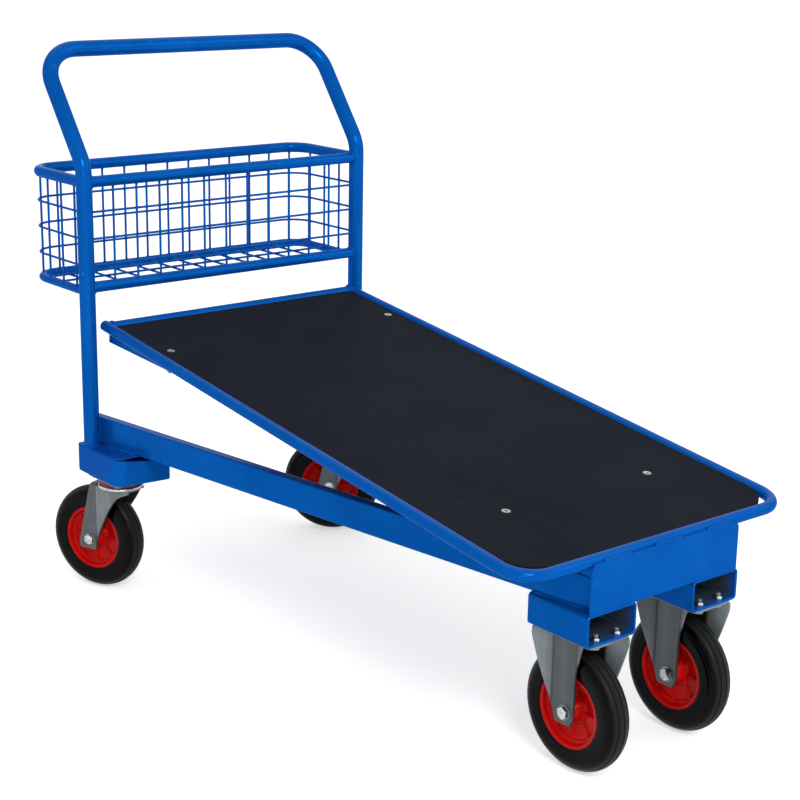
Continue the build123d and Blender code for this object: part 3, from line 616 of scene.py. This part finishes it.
def wheel_place(joint):
    """Turns points about Z into points about a wheel's axle, at the axle's middle."""
    centre, axis = axle_line(joint)
    turn = np.stack([np.cross(Z, axis), Z, axis])
    return lambda points: centre + points @ turn


def wheel_bodies():
    """Each wheel's body, the body that holds its axle, a pattern for its pieces' names and its place."""
    for end in ("front", "rear"):
        for side in SIDES:
            joint = joints[f"{end}_wheel_{side}_spin"]
            yield joint["child"], joint["parent"], f"{end}_{{}}_{side}", wheel_place(joint)


def axle_sets():
    """Axle bolt with a washer and a threaded end, its nut and the sleeve between the fork's legs.

    thread radius = mean + depth cos(2 pi s / pitch), s being the length along the bolt.
    """
    face, sleeve_half = FORK_LEG_X + HALF_SHEET, FORK_LEG_X - HALF_SHEET - 0.05
    rims, bore, thick = {"front": 13.0, "rear": 11.4}, 7.0, 1.4
    bevel, bevel_up, washer_darkening = 0.4, 0.3, 0.75
    flats, mean, depth, pitch = 18.0, 5.75, 0.25, 1.75
    head, nut = hex_block(flats, 5.6), hex_block(flats, 8.4, 5.9)
    along = 0.25 * np.arange(52)
    thread = turned(np.stack([along, mean + depth * np.cos(2 * np.pi * along / pitch)], 1), 40) + face * Z
    tube = [(-sleeve_half, 6.2), (-sleeve_half, 10), (sleeve_half, 10), (sleeve_half, 6.2)]
    sleeve = turned(np.array(tube))
    for _, holder, name, place in wheel_bodies():
        rim = rims[name.split("_")[0]]
        under = [(0, bore), (0, rim - bevel), (bevel_up, rim)]
        over = [(thick - bevel_up, rim), (thick, rim - bevel), (thick, bore)]
        washer = turned(np.array(under + over)) + face * Z
        shell = Shell()
        for block, mirror in ((head, (1, 1, -1)), (nut, (1, 1, 1))):
            # The washers are drawn darker than the bolt's head and the nut
            shell.add(place(washer * mirror), caps=(0, -1), value=washer_darkening)
            shell.add(place((block + (face + thick) * Z) * mirror), caps=(0, -1))
        shell.add(place(thread), caps=(0, -1)).add(place(sleeve), True)
        shell.piece(name.format("axle_set"), holder, "fastener_steel", name.format("axle"), mark="dirt_and_painted_shade")


def tyre_profile():
    """Section of the tyre as (along the axle, radius), from its seat round both sides and the tread.

    The side swells as a sine from the bead to its widest and falls as a parabola to the shoulder, and a
    bell curve raises a ring at each moulding line. The shoulder is a Bezier curve up to the tread, which
    is a parabola with three round-edged grooves.
    """
    seat_half, seat_radius, top = 16.9, 58.1, 100.0
    bead, widest, shoulder = np.array([(20.5, 61.05), (22.5, 78.3), (21.0, 86.5)])
    pull, edge = np.array([(18.9, 92.35), (14.0, 95.5)])
    rings, ring_width, ring_sink = ((65.5, 0.7), (67.5, 0.7), (84.5, 0.35)), 0.55, 0.02
    grooves, groove_depth = (0.0, 10.0), 2.2
    t = np.linspace(0, 1, 18)[:, None]
    low = bead + (widest - bead) * np.hstack([np.sin(t * np.pi / 2), t])
    high = widest + (shoulder - widest) * np.hstack([t**2, t])
    side = np.concatenate([low, high[1:]])
    for radius, rise in rings:
        side[:, 0] += rise * np.exp(-(((side[:, 1] - radius) / ring_width) ** 2)) - ring_sink
    t = np.linspace(0, 1, 14)[1:, None]
    curve = (1 - t) ** 2 * shoulder + 2 * t * (1 - t) * pull + t**2 * edge
    across = np.linspace(edge[0], 0, 96)[1:]
    tread = top - (top - edge[1]) * (across / edge[0]) ** 2
    for middle in grooves:
        tread = tread - groove_depth * (1 - smooth_step(0.55, 1.2, np.abs(across - middle)))
    seat = [(0, seat_radius), (seat_half, seat_radius), (seat_half, bead[1])]
    half = np.concatenate([seat, side, curve, np.stack([across, tread], 1)])
    return np.concatenate([half, half[1:-1][::-1] * (-1, 1)])


def tyres():
    """Rubber tyres on the wheels, which tell their material where the tread is."""
    profile = tyre_profile()
    tread = smooth_step(92.0, 96.0, profile[:, 1])
    for body, _, name, place in wheel_bodies():
        shell = Shell().add(place(turned(profile, 160)), True, value=tread[:, None])
        shell.piece(name.format("rubber_tyre"), body, "tyre", name.format("tyre"), mark="tread")


def hubs():
    """Moulded hubs: a lipped rim, pockets between ribs, and a boss with a rounded edge.

    The face is a height over the wheel's middle plane at each radius and angle:
    height = dish(radius) - depth * inside(radius) * inside(distance from the nearest rib).
    Between boss and lip the dish rises by 6.2 in 32 mm, from 5.6 mm at radius 20.
    """
    count, ribs, pocket_depth, rib_top, rib_foot = 320, 8, 4.2, 0.8, 3.6
    boss = [(15.1, 22.1), (15.6, 22.5), (16.4, 22.5), (17.0, 21.9), (19.4, 7.0)]
    web = np.linspace(20.6, 51.6, 26)
    lip = [(52.6, 12.5), (53.8, 14.4), (54.8, 18.2), (55.4, 19.8), (56.3, 20.5), (60.4, 20.5), (61.0, 19.9)]
    face = np.concatenate([boss, np.stack([web, 5.6 + 6.2 * (web - 20) / 32], 1), lip])
    seat = np.array([(17.0, 61.0), (17.0, 58.0), (-17.0, 58.0), (-17.0, 61.0)])
    radius, dish = face.T
    turn = np.linspace(0, 2 * np.pi, count, endpoint=False)
    from_rib = (turn + np.pi / ribs) % (2 * np.pi / ribs) - np.pi / ribs
    off_rib = np.abs(radius[:, None] * np.sin(from_rib))
    pocket = smooth_step(21.0, 25.0, radius) * (1 - smooth_step(46.0, 51.0, radius))
    height = dish[:, None] - pocket_depth * pocket[:, None] * smooth_step(rib_top, rib_foot, off_rib)
    right = np.concatenate([radius[:, None, None] * circle(count), height[..., None]], -1)
    rings = np.concatenate([right, turned(seat, count), (right * (1, 1, -1))[::-1]])
    for body, _, name, place in wheel_bodies():
        shell = Shell().add(place(rings), True)
        shell.piece(name.format("moulded_hub"), body, "red_hub", name.format("hub"))


def soft_fold(distance, radius=4.0):
    """0 before a fold and the distance past it, rounded: (d + sqrt(d^2 + r^2)) / 2."""
    return (distance + np.hypot(distance, radius)) / 2


def pressed_sheet(line, front, rear, height, draw=1.0, tilt=0.0, count=44):
    """Rings round a pressed sheet, one for each of its rows.

    A row's middle line is x = draw * line(y), for y from front to rear, at a height. The outer face lies
    half a thickness out along the normal, which leans up by tilt, and the inner face as far in; half
    circles close both ends, and the foot's rows thin out as a quarter of a circle.
    """
    rows = np.broadcast_arrays(front, rear, height, draw, tilt)
    front, rear, height, draw, tilt = (row[:, None] for row in rows)
    above = np.clip((height - FORK_FOOT_Z) / HALF_SHEET, 0.02, 1)
    half = HALF_SHEET * np.sqrt(above * (2 - above))
    y = front + half + (rear - front - 2 * half) * np.linspace(0, 1, count)
    x = draw * line(y)
    slope = np.gradient(x, axis=1) / np.gradient(y, axis=1)
    along = unit(np.stack([slope, np.ones_like(y), np.zeros_like(y)], -1))
    out = np.cross(Z, along) * np.cos(tilt)[..., None] + Z * np.sin(tilt)[..., None]
    middle = np.stack([x, y, np.broadcast_to(height, y.shape)], -1)
    half = half[..., None]
    turn = np.linspace(np.pi / 2, -np.pi / 2, 9)[1:-1, None]
    rear_end = middle[:, -1:] + half * (np.sin(turn) * out[:, -1:] + np.cos(turn) * along[:, -1:])
    front_end = middle[:, :1] - half * (np.sin(turn) * out[:, :1] + np.cos(turn) * along[:, :1])
    faces = middle + half * out, (middle - half * out)[:, ::-1]
    return np.concatenate([faces[0], rear_end, faces[1], front_end], axis=1)


def foot_rows(top, count):
    """Heights from a leg's foot to a top, close together where the foot is rounded."""
    rounding = FORK_FOOT_Z + HALF_SHEET * (1 - np.cos(np.linspace(0, np.pi / 2, 6)))
    return np.concatenate([rounding, np.linspace(FORK_FOOT_Z + HALF_SHEET, top, count)[1:]])


def fork_place(joint):
    """Turns points about a wheel's middle, x along its axle and z up from the floor, into their places."""
    centre, axis = axle_line(joint)
    turn = np.stack([axis, np.cross(Z, axis), Z])
    return lambda points: centre * (1, 1, 0) + points @ turn


def painted_fork_shade(rings, folds, leg, inner_wing):
    """How much painted shade a pressed sheet gets at each point of its rings, from 0 to 1.

    A fold is its place along y and the way to its wing. The flat leg is 1 inside, and past a fold it
    falls in 5 mm to 0 outside and to a value of its own inside. A line of 0.35 runs along the fold as
    painted shade in the crease.
    """
    y = rings[..., 1]
    columns = np.arange(rings.shape[1])
    inside = columns > rings.shape[1] // 2 - 4
    wing = sum(smooth_step(-1, 4, way * (y - place)) for place, way in folds)
    line = sum(np.exp(-(((y - place) / 1.8) ** 2)) for place, _ in folds)
    flat = np.where(inside, 1.0, leg)
    turned_out = np.where(inside, inner_wing, 0.0)
    return np.clip(flat + (turned_out - flat) * wing + 0.35 * line, 0, 1)


def fixed_forks():
    """Fixed castor forks: each half is a leg with wings turned out at two folds, bent over into the plate.

    From the axle, the rear edge runs as 28 + 0.37 (z - 100) and eases off over z = 165, and the front
    edge stands 19.2 mm forward and leans out by 0.42 over z = 177. The bend is a quarter of a circle,
    and the second half is the first after half a turn.
    """
    flare, bend, under_plate = np.tan(np.radians(25)), 6.0, CASTOR_Z - HALF_SHEET
    rear_fold, front_fold, rear_limit, leg_painted_shade = 28.0, -22.0, 62.5, 0.56
    plate_width, plate_length, plate_corners, plate_thickness = 84.0, 126.0, (8, 8, 8, 8), 4.2
    rise = foot_rows(under_plate - bend, 76)
    turn = np.linspace(0, np.pi / 2, 11)[1:]
    height = np.concatenate([rise, under_plate - bend * (1 - np.sin(turn))])
    draw = np.concatenate([np.ones_like(rise), 1 - bend / FORK_LEG_X * (1 - np.cos(turn))])
    tilt = np.concatenate([np.zeros_like(rise), turn])
    rear = 28 + 0.37 * (height - AXLE_Z) - 0.14 * soft_fold(height - 165, 25.0)
    front = -np.interp(height, (FORK_FOOT_Z, 93), (12, 19.2)) - 0.42 * soft_fold(height - 177, 14.0)

    def line(y):
        return -FORK_LEG_X - flare * (soft_fold(y - rear_fold) + soft_fold(front_fold - y))

    half = pressed_sheet(line, front, np.minimum(rear, rear_limit), height, draw, tilt)
    # Painted shade: each leg's flat darker than its turned-out wings, the inner flat darkest, a dark line
    # at each fold
    dirt_and_painted_shade = painted_fork_shade(half, ((rear_fold, 1), (front_fold, -1)), leg_painted_shade, 0.0)
    plate = plate_rings(plate_width, plate_length, plate_corners, plate_thickness, RIM_EDGE)
    plate = plate * (1, 1, -1) + CASTOR_Z * Z
    for side in SIDES:
        joint = joints[f"front_wheel_{side}_spin"]
        place, holder = fork_place(joint), joint["parent"]
        shell = Shell().add(place(half), caps=(0, -1), value=dirt_and_painted_shade)
        shell.add(place(half * (-1, -1, 1)), caps=(0, -1), value=dirt_and_painted_shade)
        shell.add(place(plate), caps=(0, -1))
        shell.piece(f"front_pressed_fork_{side}", holder, "castor_zinc", f"front_fork_{side}", mark="dirt_and_painted_shade")


def swivel_forks():
    """Swivel forks: two legs with a wing turned out in front, a bridge bent over them and a lipped crown.

    The front edge runs as 17.5 + 52.5 ((z - 100) / 90)^1.12 + 20 ((z - 192) / 14)^2 mm from the axle, z
    being the height over the floor, and the rear edge rounds over into the bridge. The wing turns out at
    its fold until it meets the crown's edge, and follows that circle forward. The bridge is a flat strip
    carried along a round U, and the crown's lip is an ellipse turned about the king pin.
    """
    bend, foot_corner, fold, flare, front_limit = 6.0, 7.0, -15.5, np.tan(np.radians(21)), -91.0
    leg_painted_shade, inner_wing_painted_shade, bridge_painted_shade = 0.46, 0.8, 0.4
    bridge_y, bridge_half, rim, pin_hole = -15.5, 13.5, CROWN_RADIUS, 7.0
    lip_rise, lip_width = 3.5, 2.0
    rise = foot_rows(CROWN_BASE - bend, 70)
    height = np.concatenate([rise, CROWN_BASE - np.array([5.95, 4.5, 3.0, 1.2, -0.4, -2.4, -4.2])])
    above = height - AXLE_Z
    sweep = 17.5 - 0.29 * np.clip(-above, 0, 7) + 52.5 * np.clip(above / 90, 0, None) ** 1.12
    sweep = sweep + 20 * np.clip((height - 192) / 14, 0, None) ** 2
    into_foot = np.clip(FORK_FOOT_Z + foot_corner - height, 0, foot_corner)
    corner = foot_corner - np.sqrt(foot_corner**2 - into_foot**2)
    front = np.maximum(corner - sweep, front_limit)
    over = np.clip((height - 197) / 14, 0, 1)
    rear = np.interp(height, (93, 208), (26.5, 0)) - corner - 22 * (1 - np.sqrt(1 - over**2))

    def line(y):
        wing = FORK_LEG_X + flare * soft_fold(fold - y, 2.5)
        edge = np.sqrt((CROWN_RADIUS - HALF_SHEET) ** 2 - np.minimum(y + TRAIL, 0) ** 2)
        return (np.hypot(wing - edge, 4.0) - wing - edge) / 2

    leg = pressed_sheet(line, front, rear, height)
    # Painted shade: each leg's flat and its inner faces darker, a dark line at the fold, the bridge a
    # little darker
    dirt_and_painted_shade = painted_fork_shade(leg, ((fold, -1),), leg_painted_shade, inner_wing_painted_shade)
    turn = np.linspace(0, np.pi / 2, 12)
    bend_z = CROWN_TOP - HALF_SHEET - bend
    quarter = np.stack([-FORK_LEG_X + bend * (1 - np.cos(turn)), bend_z + bend * np.sin(turn)], 1)
    half_arch = np.concatenate([[(-FORK_LEG_X, CROWN_BASE - bend)], quarter])
    arch = np.concatenate([half_arch, half_arch[::-1] * (-1, 1)])
    strip = HALF_SHEET * circle(28)
    strip[:, 1] += np.where(strip[:, 1] > 0, bridge_half, -bridge_half)
    bridge = carried(strip, np.insert(arch, 1, bridge_y, axis=1), Y)
    dish = [(0, pin_hole), (0, rim - 5), (0.6, rim - 2.6), (2.2, rim - 0.7), (4, rim), (6, rim - 0.2)]
    crown = turned(np.array([*dish, (6, pin_hole)]) + (CROWN_BASE, 0), 120) - TRAIL * Y
    bead = circle(16) * (lip_rise, lip_width) + (CROWN_LIP - lip_rise, rim - 1.9)
    lip = turned(bead, 120) - TRAIL * Y
    for side in SIDES:
        joint = joints[f"rear_wheel_{side}_spin"]
        place, holder = fork_place(joint), joint["parent"]
        shell = Shell().add(place(leg), caps=(0, -1), value=dirt_and_painted_shade)
        shell.add(place(leg * (-1, 1, 1)), caps=(0, -1), value=dirt_and_painted_shade)
        shell.add(place(bridge), caps=(0, -1), value=bridge_painted_shade).add(place(crown), True)
        shell.piece(f"rear_pressed_fork_{side}", holder, "castor_zinc", f"rear_fork_{side}", mark="dirt_and_painted_shade")
        # Painted highlight: the lip wears the bright fixings' finish, lighter than the zinc crown it
        # belongs to
        Shell().add(place(lip), True).piece(f"rear_crown_lip_{side}", holder, "fastener_steel")


def castor_fixings():
    """Chamfered nuts on the castors' bolts, in channels and boxes, and the bolts under the plates."""
    plate, nut_height, tail = 4.0, 6.4, 4.0
    nut, head = hex_block(13.0, nut_height, 4.1), hex_block(13.0, 5.3) * (1, 1, -1)
    radius, end_radius, rear_x, rear_y = 3.9, 3.0, 285.5, -52.0
    for end, x, y, spacing, sheet in (
        ("front", CHANNEL_X, PLATE_FRONT_Y + CHANNEL_HALF_LENGTH, (22.0, 52.0), CHANNEL_WALL),
        ("rear", rear_x, rear_y, (30.0, 40.0), BOX_SHEET),
    ):
        nuts, bolts = Shell(), Shell()
        top = plate + sheet + nut_height + tail
        section = [(-0.2, 0.05), (-0.2, radius), (top - 1, radius), (top, end_radius), (top, 0.05)]
        shank = turned(np.array(section), 24)
        for side in SIDES.values():
            for right, back in ((-1, -1), (-1, 1), (1, -1), (1, 1)):
                spot = np.array([side * x + right * spacing[0], y + back * spacing[1], CASTOR_Z - plate])
                nuts.add(nut + spot + (plate + sheet) * Z, True)
                bolts.add(head + spot, caps=(0, -1)).add(shank + spot, caps=(0, -1))
        nuts.piece(f"{end}_chamfered_nuts", "frame", "fastener_steel", f"{end}_castor_nuts")
        bolts.piece(f"{end}_chamfered_bolts", "frame", "castor_zinc", f"{end}_castor_bolts")


def rounded_loop(width, height, radii, inset=0.0):
    """Loop of points round a rectangle about the origin, set in by an inset.

    Each corner is a quarter circle of its radius less the inset, from +x +y round to +x -y, and the
    straight runs between are divided evenly.
    """
    arcs = []
    for k, (radius, (right, up)) in enumerate(zip(radii, ((1, 1), (-1, 1), (-1, -1), (1, -1)))):
        radius = max(radius - inset, 0.3)
        turn = np.pi / 2 * (k + np.linspace(0, 1, 10)[:, None])
        centre = np.array([right * (width / 2 - inset - radius), up * (height / 2 - inset - radius)])
        arcs.append(centre + radius * np.concatenate([np.cos(turn), np.sin(turn)], 1))
    runs = [np.linspace(arc[-1], after[0], 24)[1:-1] for arc, after in zip(arcs, arcs[1:] + arcs[:1])]
    return np.concatenate([points for pair in zip(arcs, runs) for points in pair])


def plate_rings(width, height, radii, thickness, edge):
    """Rings of a flat plate from its back at 0 to its front, whose rim is rounded by an edge radius."""
    turn = np.linspace(0, np.pi / 2, 5)
    inset = np.concatenate([[edge, 0], edge * (1 - np.cos(turn)), [edge + 0.8]])
    level = np.concatenate([[0, 0], thickness - edge * (1 - np.sin(turn)), [thickness]])
    loops = np.stack([rounded_loop(width, height, radii, d) for d in inset])
    return np.concatenate([loops, np.broadcast_to(level[:, None, None], (*loops.shape[:2], 1))], -1)


def front_plate():
    """The cross plate on the channels, its upper corners round and its rim rounded."""
    low, high = (np.array(corner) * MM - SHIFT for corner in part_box("front_plate"))
    width, thickness, height = high - low
    flat = plate_rings(width, height, (12, 12, 0, 0), thickness, RIM_EDGE)
    middle = (low + high) / 2 + (0, thickness / 2, 0)
    shell = Shell().add(middle + flat[..., [0, 2, 1]] * (1, -1, 1), caps=(0, -1))
    shell.piece("cross_plate", "frame", "blue_paint", "front_plate")


def front_channels():
    """Front castor channels: a rounded box section carried along Y, inside and out, with rounded mouths."""
    wall, edge, half, radii = CHANNEL_WALL, RIM_EDGE, CHANNEL_HALF_LENGTH, (7, 7, 7, 7)
    near = half - 2.5
    inset = np.array([0, 0, 0, edge, wall - edge, wall, wall, wall])
    along = np.array([0, near, half - edge, half, half, half - edge, near, 0])
    inset, along = np.concatenate([inset, inset[-2:0:-1]]), np.concatenate([along, -along[-2:0:-1]])
    size = 2 * CHANNEL_HALF_WIDTH, 2 * CHANNEL_HALF_HEIGHT
    loops = np.stack([rounded_loop(*size, radii, d) for d in inset])
    depth = np.broadcast_to(along[:, None, None], (*loops.shape[:2], 1))
    tube = np.concatenate([loops[..., :1], depth, loops[..., 1:]], -1)
    for name, side in SIDES.items():
        middle = side * CHANNEL_X, PLATE_FRONT_Y + half, CASTOR_Z + CHANNEL_HALF_HEIGHT
        shell = Shell().add(tube + middle, True)
        shell.piece(f"front_rounded_channel_{name}", "frame", "blue_paint", f"front_channel_{name}")


def rear_boxes():
    """Rear castor boxes: a tray whose wall hangs a little past its bottom, and a cap with a rounded rim.

    The tray's rings follow its plan, set in and raised along its section. The wall's foot hides the
    castor plate's upper edge and is a quarter of an ellipse. The wall's top is level with the cap at the
    outside and the back, falls along the front and is lowest on the inside. The front wall runs askew: it
    comes forward evenly from the outside, where it isn't moved, to the inside.
    """
    width, length, radii, sheet, bend = 110.0, 145.0, (7, 4, 4, 22), BOX_SHEET, 6.0
    middle, floor_inset, foot, askew = (275.0, -41.5, 0.0), 15.0, 2.0, 11.0
    cap_thickness, cap_edge, cap_gap = 2.1, 1.9, np.array([3.0, 2.6])
    rim, ease, rounding = sheet / 2, 0.45, 7.0
    plan = rounded_loop(width, length, radii)
    front = np.interp(plan[:, 0], (-55, -50, -33, 41, 55), (256, 260, 268, 278, 279.8))
    back = np.interp(plan[:, 0], (-55, -50, -44), (254, 260, 279.8))
    top = np.where(plan[:, 1] < 0, front, back)
    low = CASTOR_Z - foot
    turn = np.linspace(0, np.pi / 2, 7)
    under = [(floor_inset, CASTOR_Z), (rim + 0.25, CASTOR_Z), (rim + 0.25, low + 0.2)]
    under += [(rim * (1 - np.sin(t)), low + rounding * (1 - np.cos(t))) for t in turn]
    over = [(0, top - 2.4), (0, top - rim), (ease, top - ease)]
    over += [(rim, top), (sheet - ease, top - ease), (sheet, top - rim)]
    inside = [(sheet, CASTOR_Z + bend), (bend, CASTOR_Z + sheet), (floor_inset, CASTOR_Z + sheet)]
    tray = np.stack([
        np.column_stack([rounded_loop(width, length, radii, d), np.broadcast_to(z, len(plan))])
        for d, z in under + over + inside
    ])
    inward, forward = 0.5 - tray[..., 0] / width, 0.5 - tray[..., 1] / length
    tray[..., 1] -= askew * inward * forward
    cap = plate_rings(width - cap_gap[0], length - cap_gap[1], radii, cap_thickness, cap_edge)
    cap = cap + (*cap_gap / 2, BOX_TOP - cap_thickness)
    for name, side in SIDES.items():
        for rings, made, node in (
            (tray, "rear_bent_box", "rear_box"),
            (cap, "rear_rounded_cap", "rear_box_cap"),
        ):
            shell = Shell().add((rings + middle) * (side, 1, 1), caps=(0, -1))
            shell.piece(f"{made}_{name}", "frame", "blue_paint", f"{node}_{name}")


def deck_bolts():
    """Bolt heads sunk in the board, a little domed, each with a cross recess, on a shank with a nut.

    height = dome(radius) - depth where a point is within either bar of the cross. Painted shade darkens
    the recess and the head's edge over a little dirt on the whole head, and the shank and nut under
    the board are painted dark as shade.
    """
    count, head_radius, dome, recess = 96, 7.5, 0.6, 1.3
    shank_radius, shank_end, cone_end, nut_top = 3.0, -42.9, -4.6, -35.0
    # The shank and nut under the board are painted dark as shade
    board_top, painted_shade_below = 5.0, 0.85
    rear_spread, front_spread, places = 272.5, 135.0, (163.0, 962.0)
    radius = np.linspace(head_radius, 0.05, 34)[:, None]
    x, y = np.moveaxis(radius[..., None] * circle(count), -1, 0)
    bar = np.minimum(np.abs(x), np.abs(y))
    slot = (1 - smooth_step(0.55, 0.95, bar)) * (1 - smooth_step(3.2, 4.0, np.hypot(x, y)))
    height = dome * np.sqrt(np.clip(1 - (radius / (head_radius + 0.1)) ** 2, 0, 1)) - recess * slot
    head = np.stack([x, y, height], -1)
    section = [(shank_end, 0.05), (shank_end, shank_radius), (cone_end, shank_radius), (-0.1, head_radius)]
    shank = turned(np.array(section), count)
    bolt = np.concatenate([shank, head])
    # Painted shade in the cross recess and round the head's edge, on a little dirt all over the head
    recess_shade_and_dirt = np.clip(0.75 * slot + 0.5 * smooth_step(5.4, 7.3, radius) + 0.15, 0, 1)
    dirt_and_painted_shade = np.concatenate([np.full(shank.shape[:2], painted_shade_below), recess_shade_and_dirt])
    nut = hex_block(10.0, 5.0, 3.05) * (1, 1, -1) + nut_top * Z
    bolts, nuts = Shell(), Shell()
    for side in SIDES.values():
        for forward in places:
            spread = rear_spread + (front_spread - rear_spread) * forward / DECK_LENGTH
            spot = side * spread, DECK_LENGTH - forward, board_top
            turned_bolt = bolt @ np.array(Matrix.Rotation(random.uniform(0, 1.5), 3, "Z"))
            bolts.add(on_deck(turned_bolt + spot), caps=(0, -1), value=dirt_and_painted_shade)
            nuts.add(on_deck(nut + spot), True, value=painted_shade_below)
    bolts.piece("deck_bolt_heads", "frame", "fastener_steel", "deck_bolts", mark="dirt_and_painted_shade")
    nuts.piece("deck_chamfered_nuts", "frame", "fastener_steel", "deck_nuts", mark="dirt_and_painted_shade")


for dress in (
    frame_welds, wire_welds, axle_sets, tyres, hubs, fixed_forks, swivel_forks, castor_fixings,
    front_plate, front_channels, rear_boxes, deck_bolts,
):
    dress()


def camera():
    """The photograph's view: where the camera stands, in millimetres from the leg axes, and its angles."""
    stand = np.array([-1907.4, -2826.9, 1274.3])
    azimuth, elevation, roll = np.radians([-39.735, 15.639, 1.010])
    focal_pixels, picture_pixels, sensor = 1760.9, 800, 36.0
    data = bpy.data.cameras.new("photo_camera")
    data.sensor_width = sensor
    data.lens = sensor * focal_pixels / picture_pixels
    data.clip_end = 50
    made = bpy.data.objects.new("photo_camera", data)
    flat = np.cos(elevation)
    back = Vector((np.sin(azimuth) * flat, -np.cos(azimuth) * flat, np.sin(elevation)))
    right = Vector((np.cos(azimuth), np.sin(azimuth), 0))
    turn = Matrix((right, back.cross(right), back)).transposed() @ Matrix.Rotation(roll, 3, "Z")
    made.matrix_world = Matrix.Translation((stand + SHIFT) / MM) @ turn.to_4x4()
    bpy.context.scene.collection.objects.link(made)
    bpy.context.scene.camera = made


def pale_floor():
    """A wide level square just under the wheels: white where the camera looks, and it keeps shadows."""
    half, level = 30.0, -0.0005
    mesh = bpy.data.meshes.new("floor")
    corners = [(-half, -half, level), (half, -half, level), (half, half, level), (-half, half, level)]
    mesh.from_pydata(corners, [], [(0, 1, 2, 3)])
    floor = bpy.data.objects.new("floor", mesh)
    bpy.context.scene.collection.objects.link(floor)
    f = Finish("floor")
    surface = f.node("BsdfDiffuse", inputs={"Color": (0.93, 0.93, 0.93)})
    glow = f.node("Emission", inputs={"Color": (1.0, 1.0, 1.0), "Strength": f.seen() * 0.5})
    both = f.node("AddShader", inputs={0: surface, 1: glow})
    f.node("OutputMaterial", inputs={"Surface": both})
    mesh.materials.append(f.owner)


def surround():
    """An even white world, a little dimmer as a light than as a background."""
    f = Finish("surround", bpy.data.worlds)
    strength = f.node("MapRange", inputs={"Value": f.seen(), "To Min": 0.70, "To Max": 1.0})
    background = f.node("Background", inputs={"Color": (1.0, 1.0, 1.0), "Strength": strength})
    f.node("OutputWorld", inputs={"Surface": background})
    bpy.context.scene.world = f.owner


def lamps():
    """Three soft square lamps in front: place and aim in metres, width in metres and power in watts."""
    for name, place, aim, size, power in (
        ("key", (-2.7, -5.9, 5.2), (0, 0, 0.4), 2.3, 216),
        ("fill", (4.4, -4.4, 3.8), (0, 0, 0.4), 3.5, 50),
        ("front", (-2.3, -2.9, 0.9), (0, -0.3, 0.3), 0.8, 9),
    ):
        data = bpy.data.lights.new(name, "AREA")
        data.size, data.energy = size, power
        lamp = bpy.data.objects.new(name, data)
        lamp.location = place
        lamp.rotation_euler = (Vector(aim) - Vector(place)).to_track_quat("-Z", "Y").to_euler()
        bpy.context.scene.collection.objects.link(lamp)


bpy.context.scene.view_settings.view_transform = "Standard"
camera()
pale_floor()
surround()
lamps()
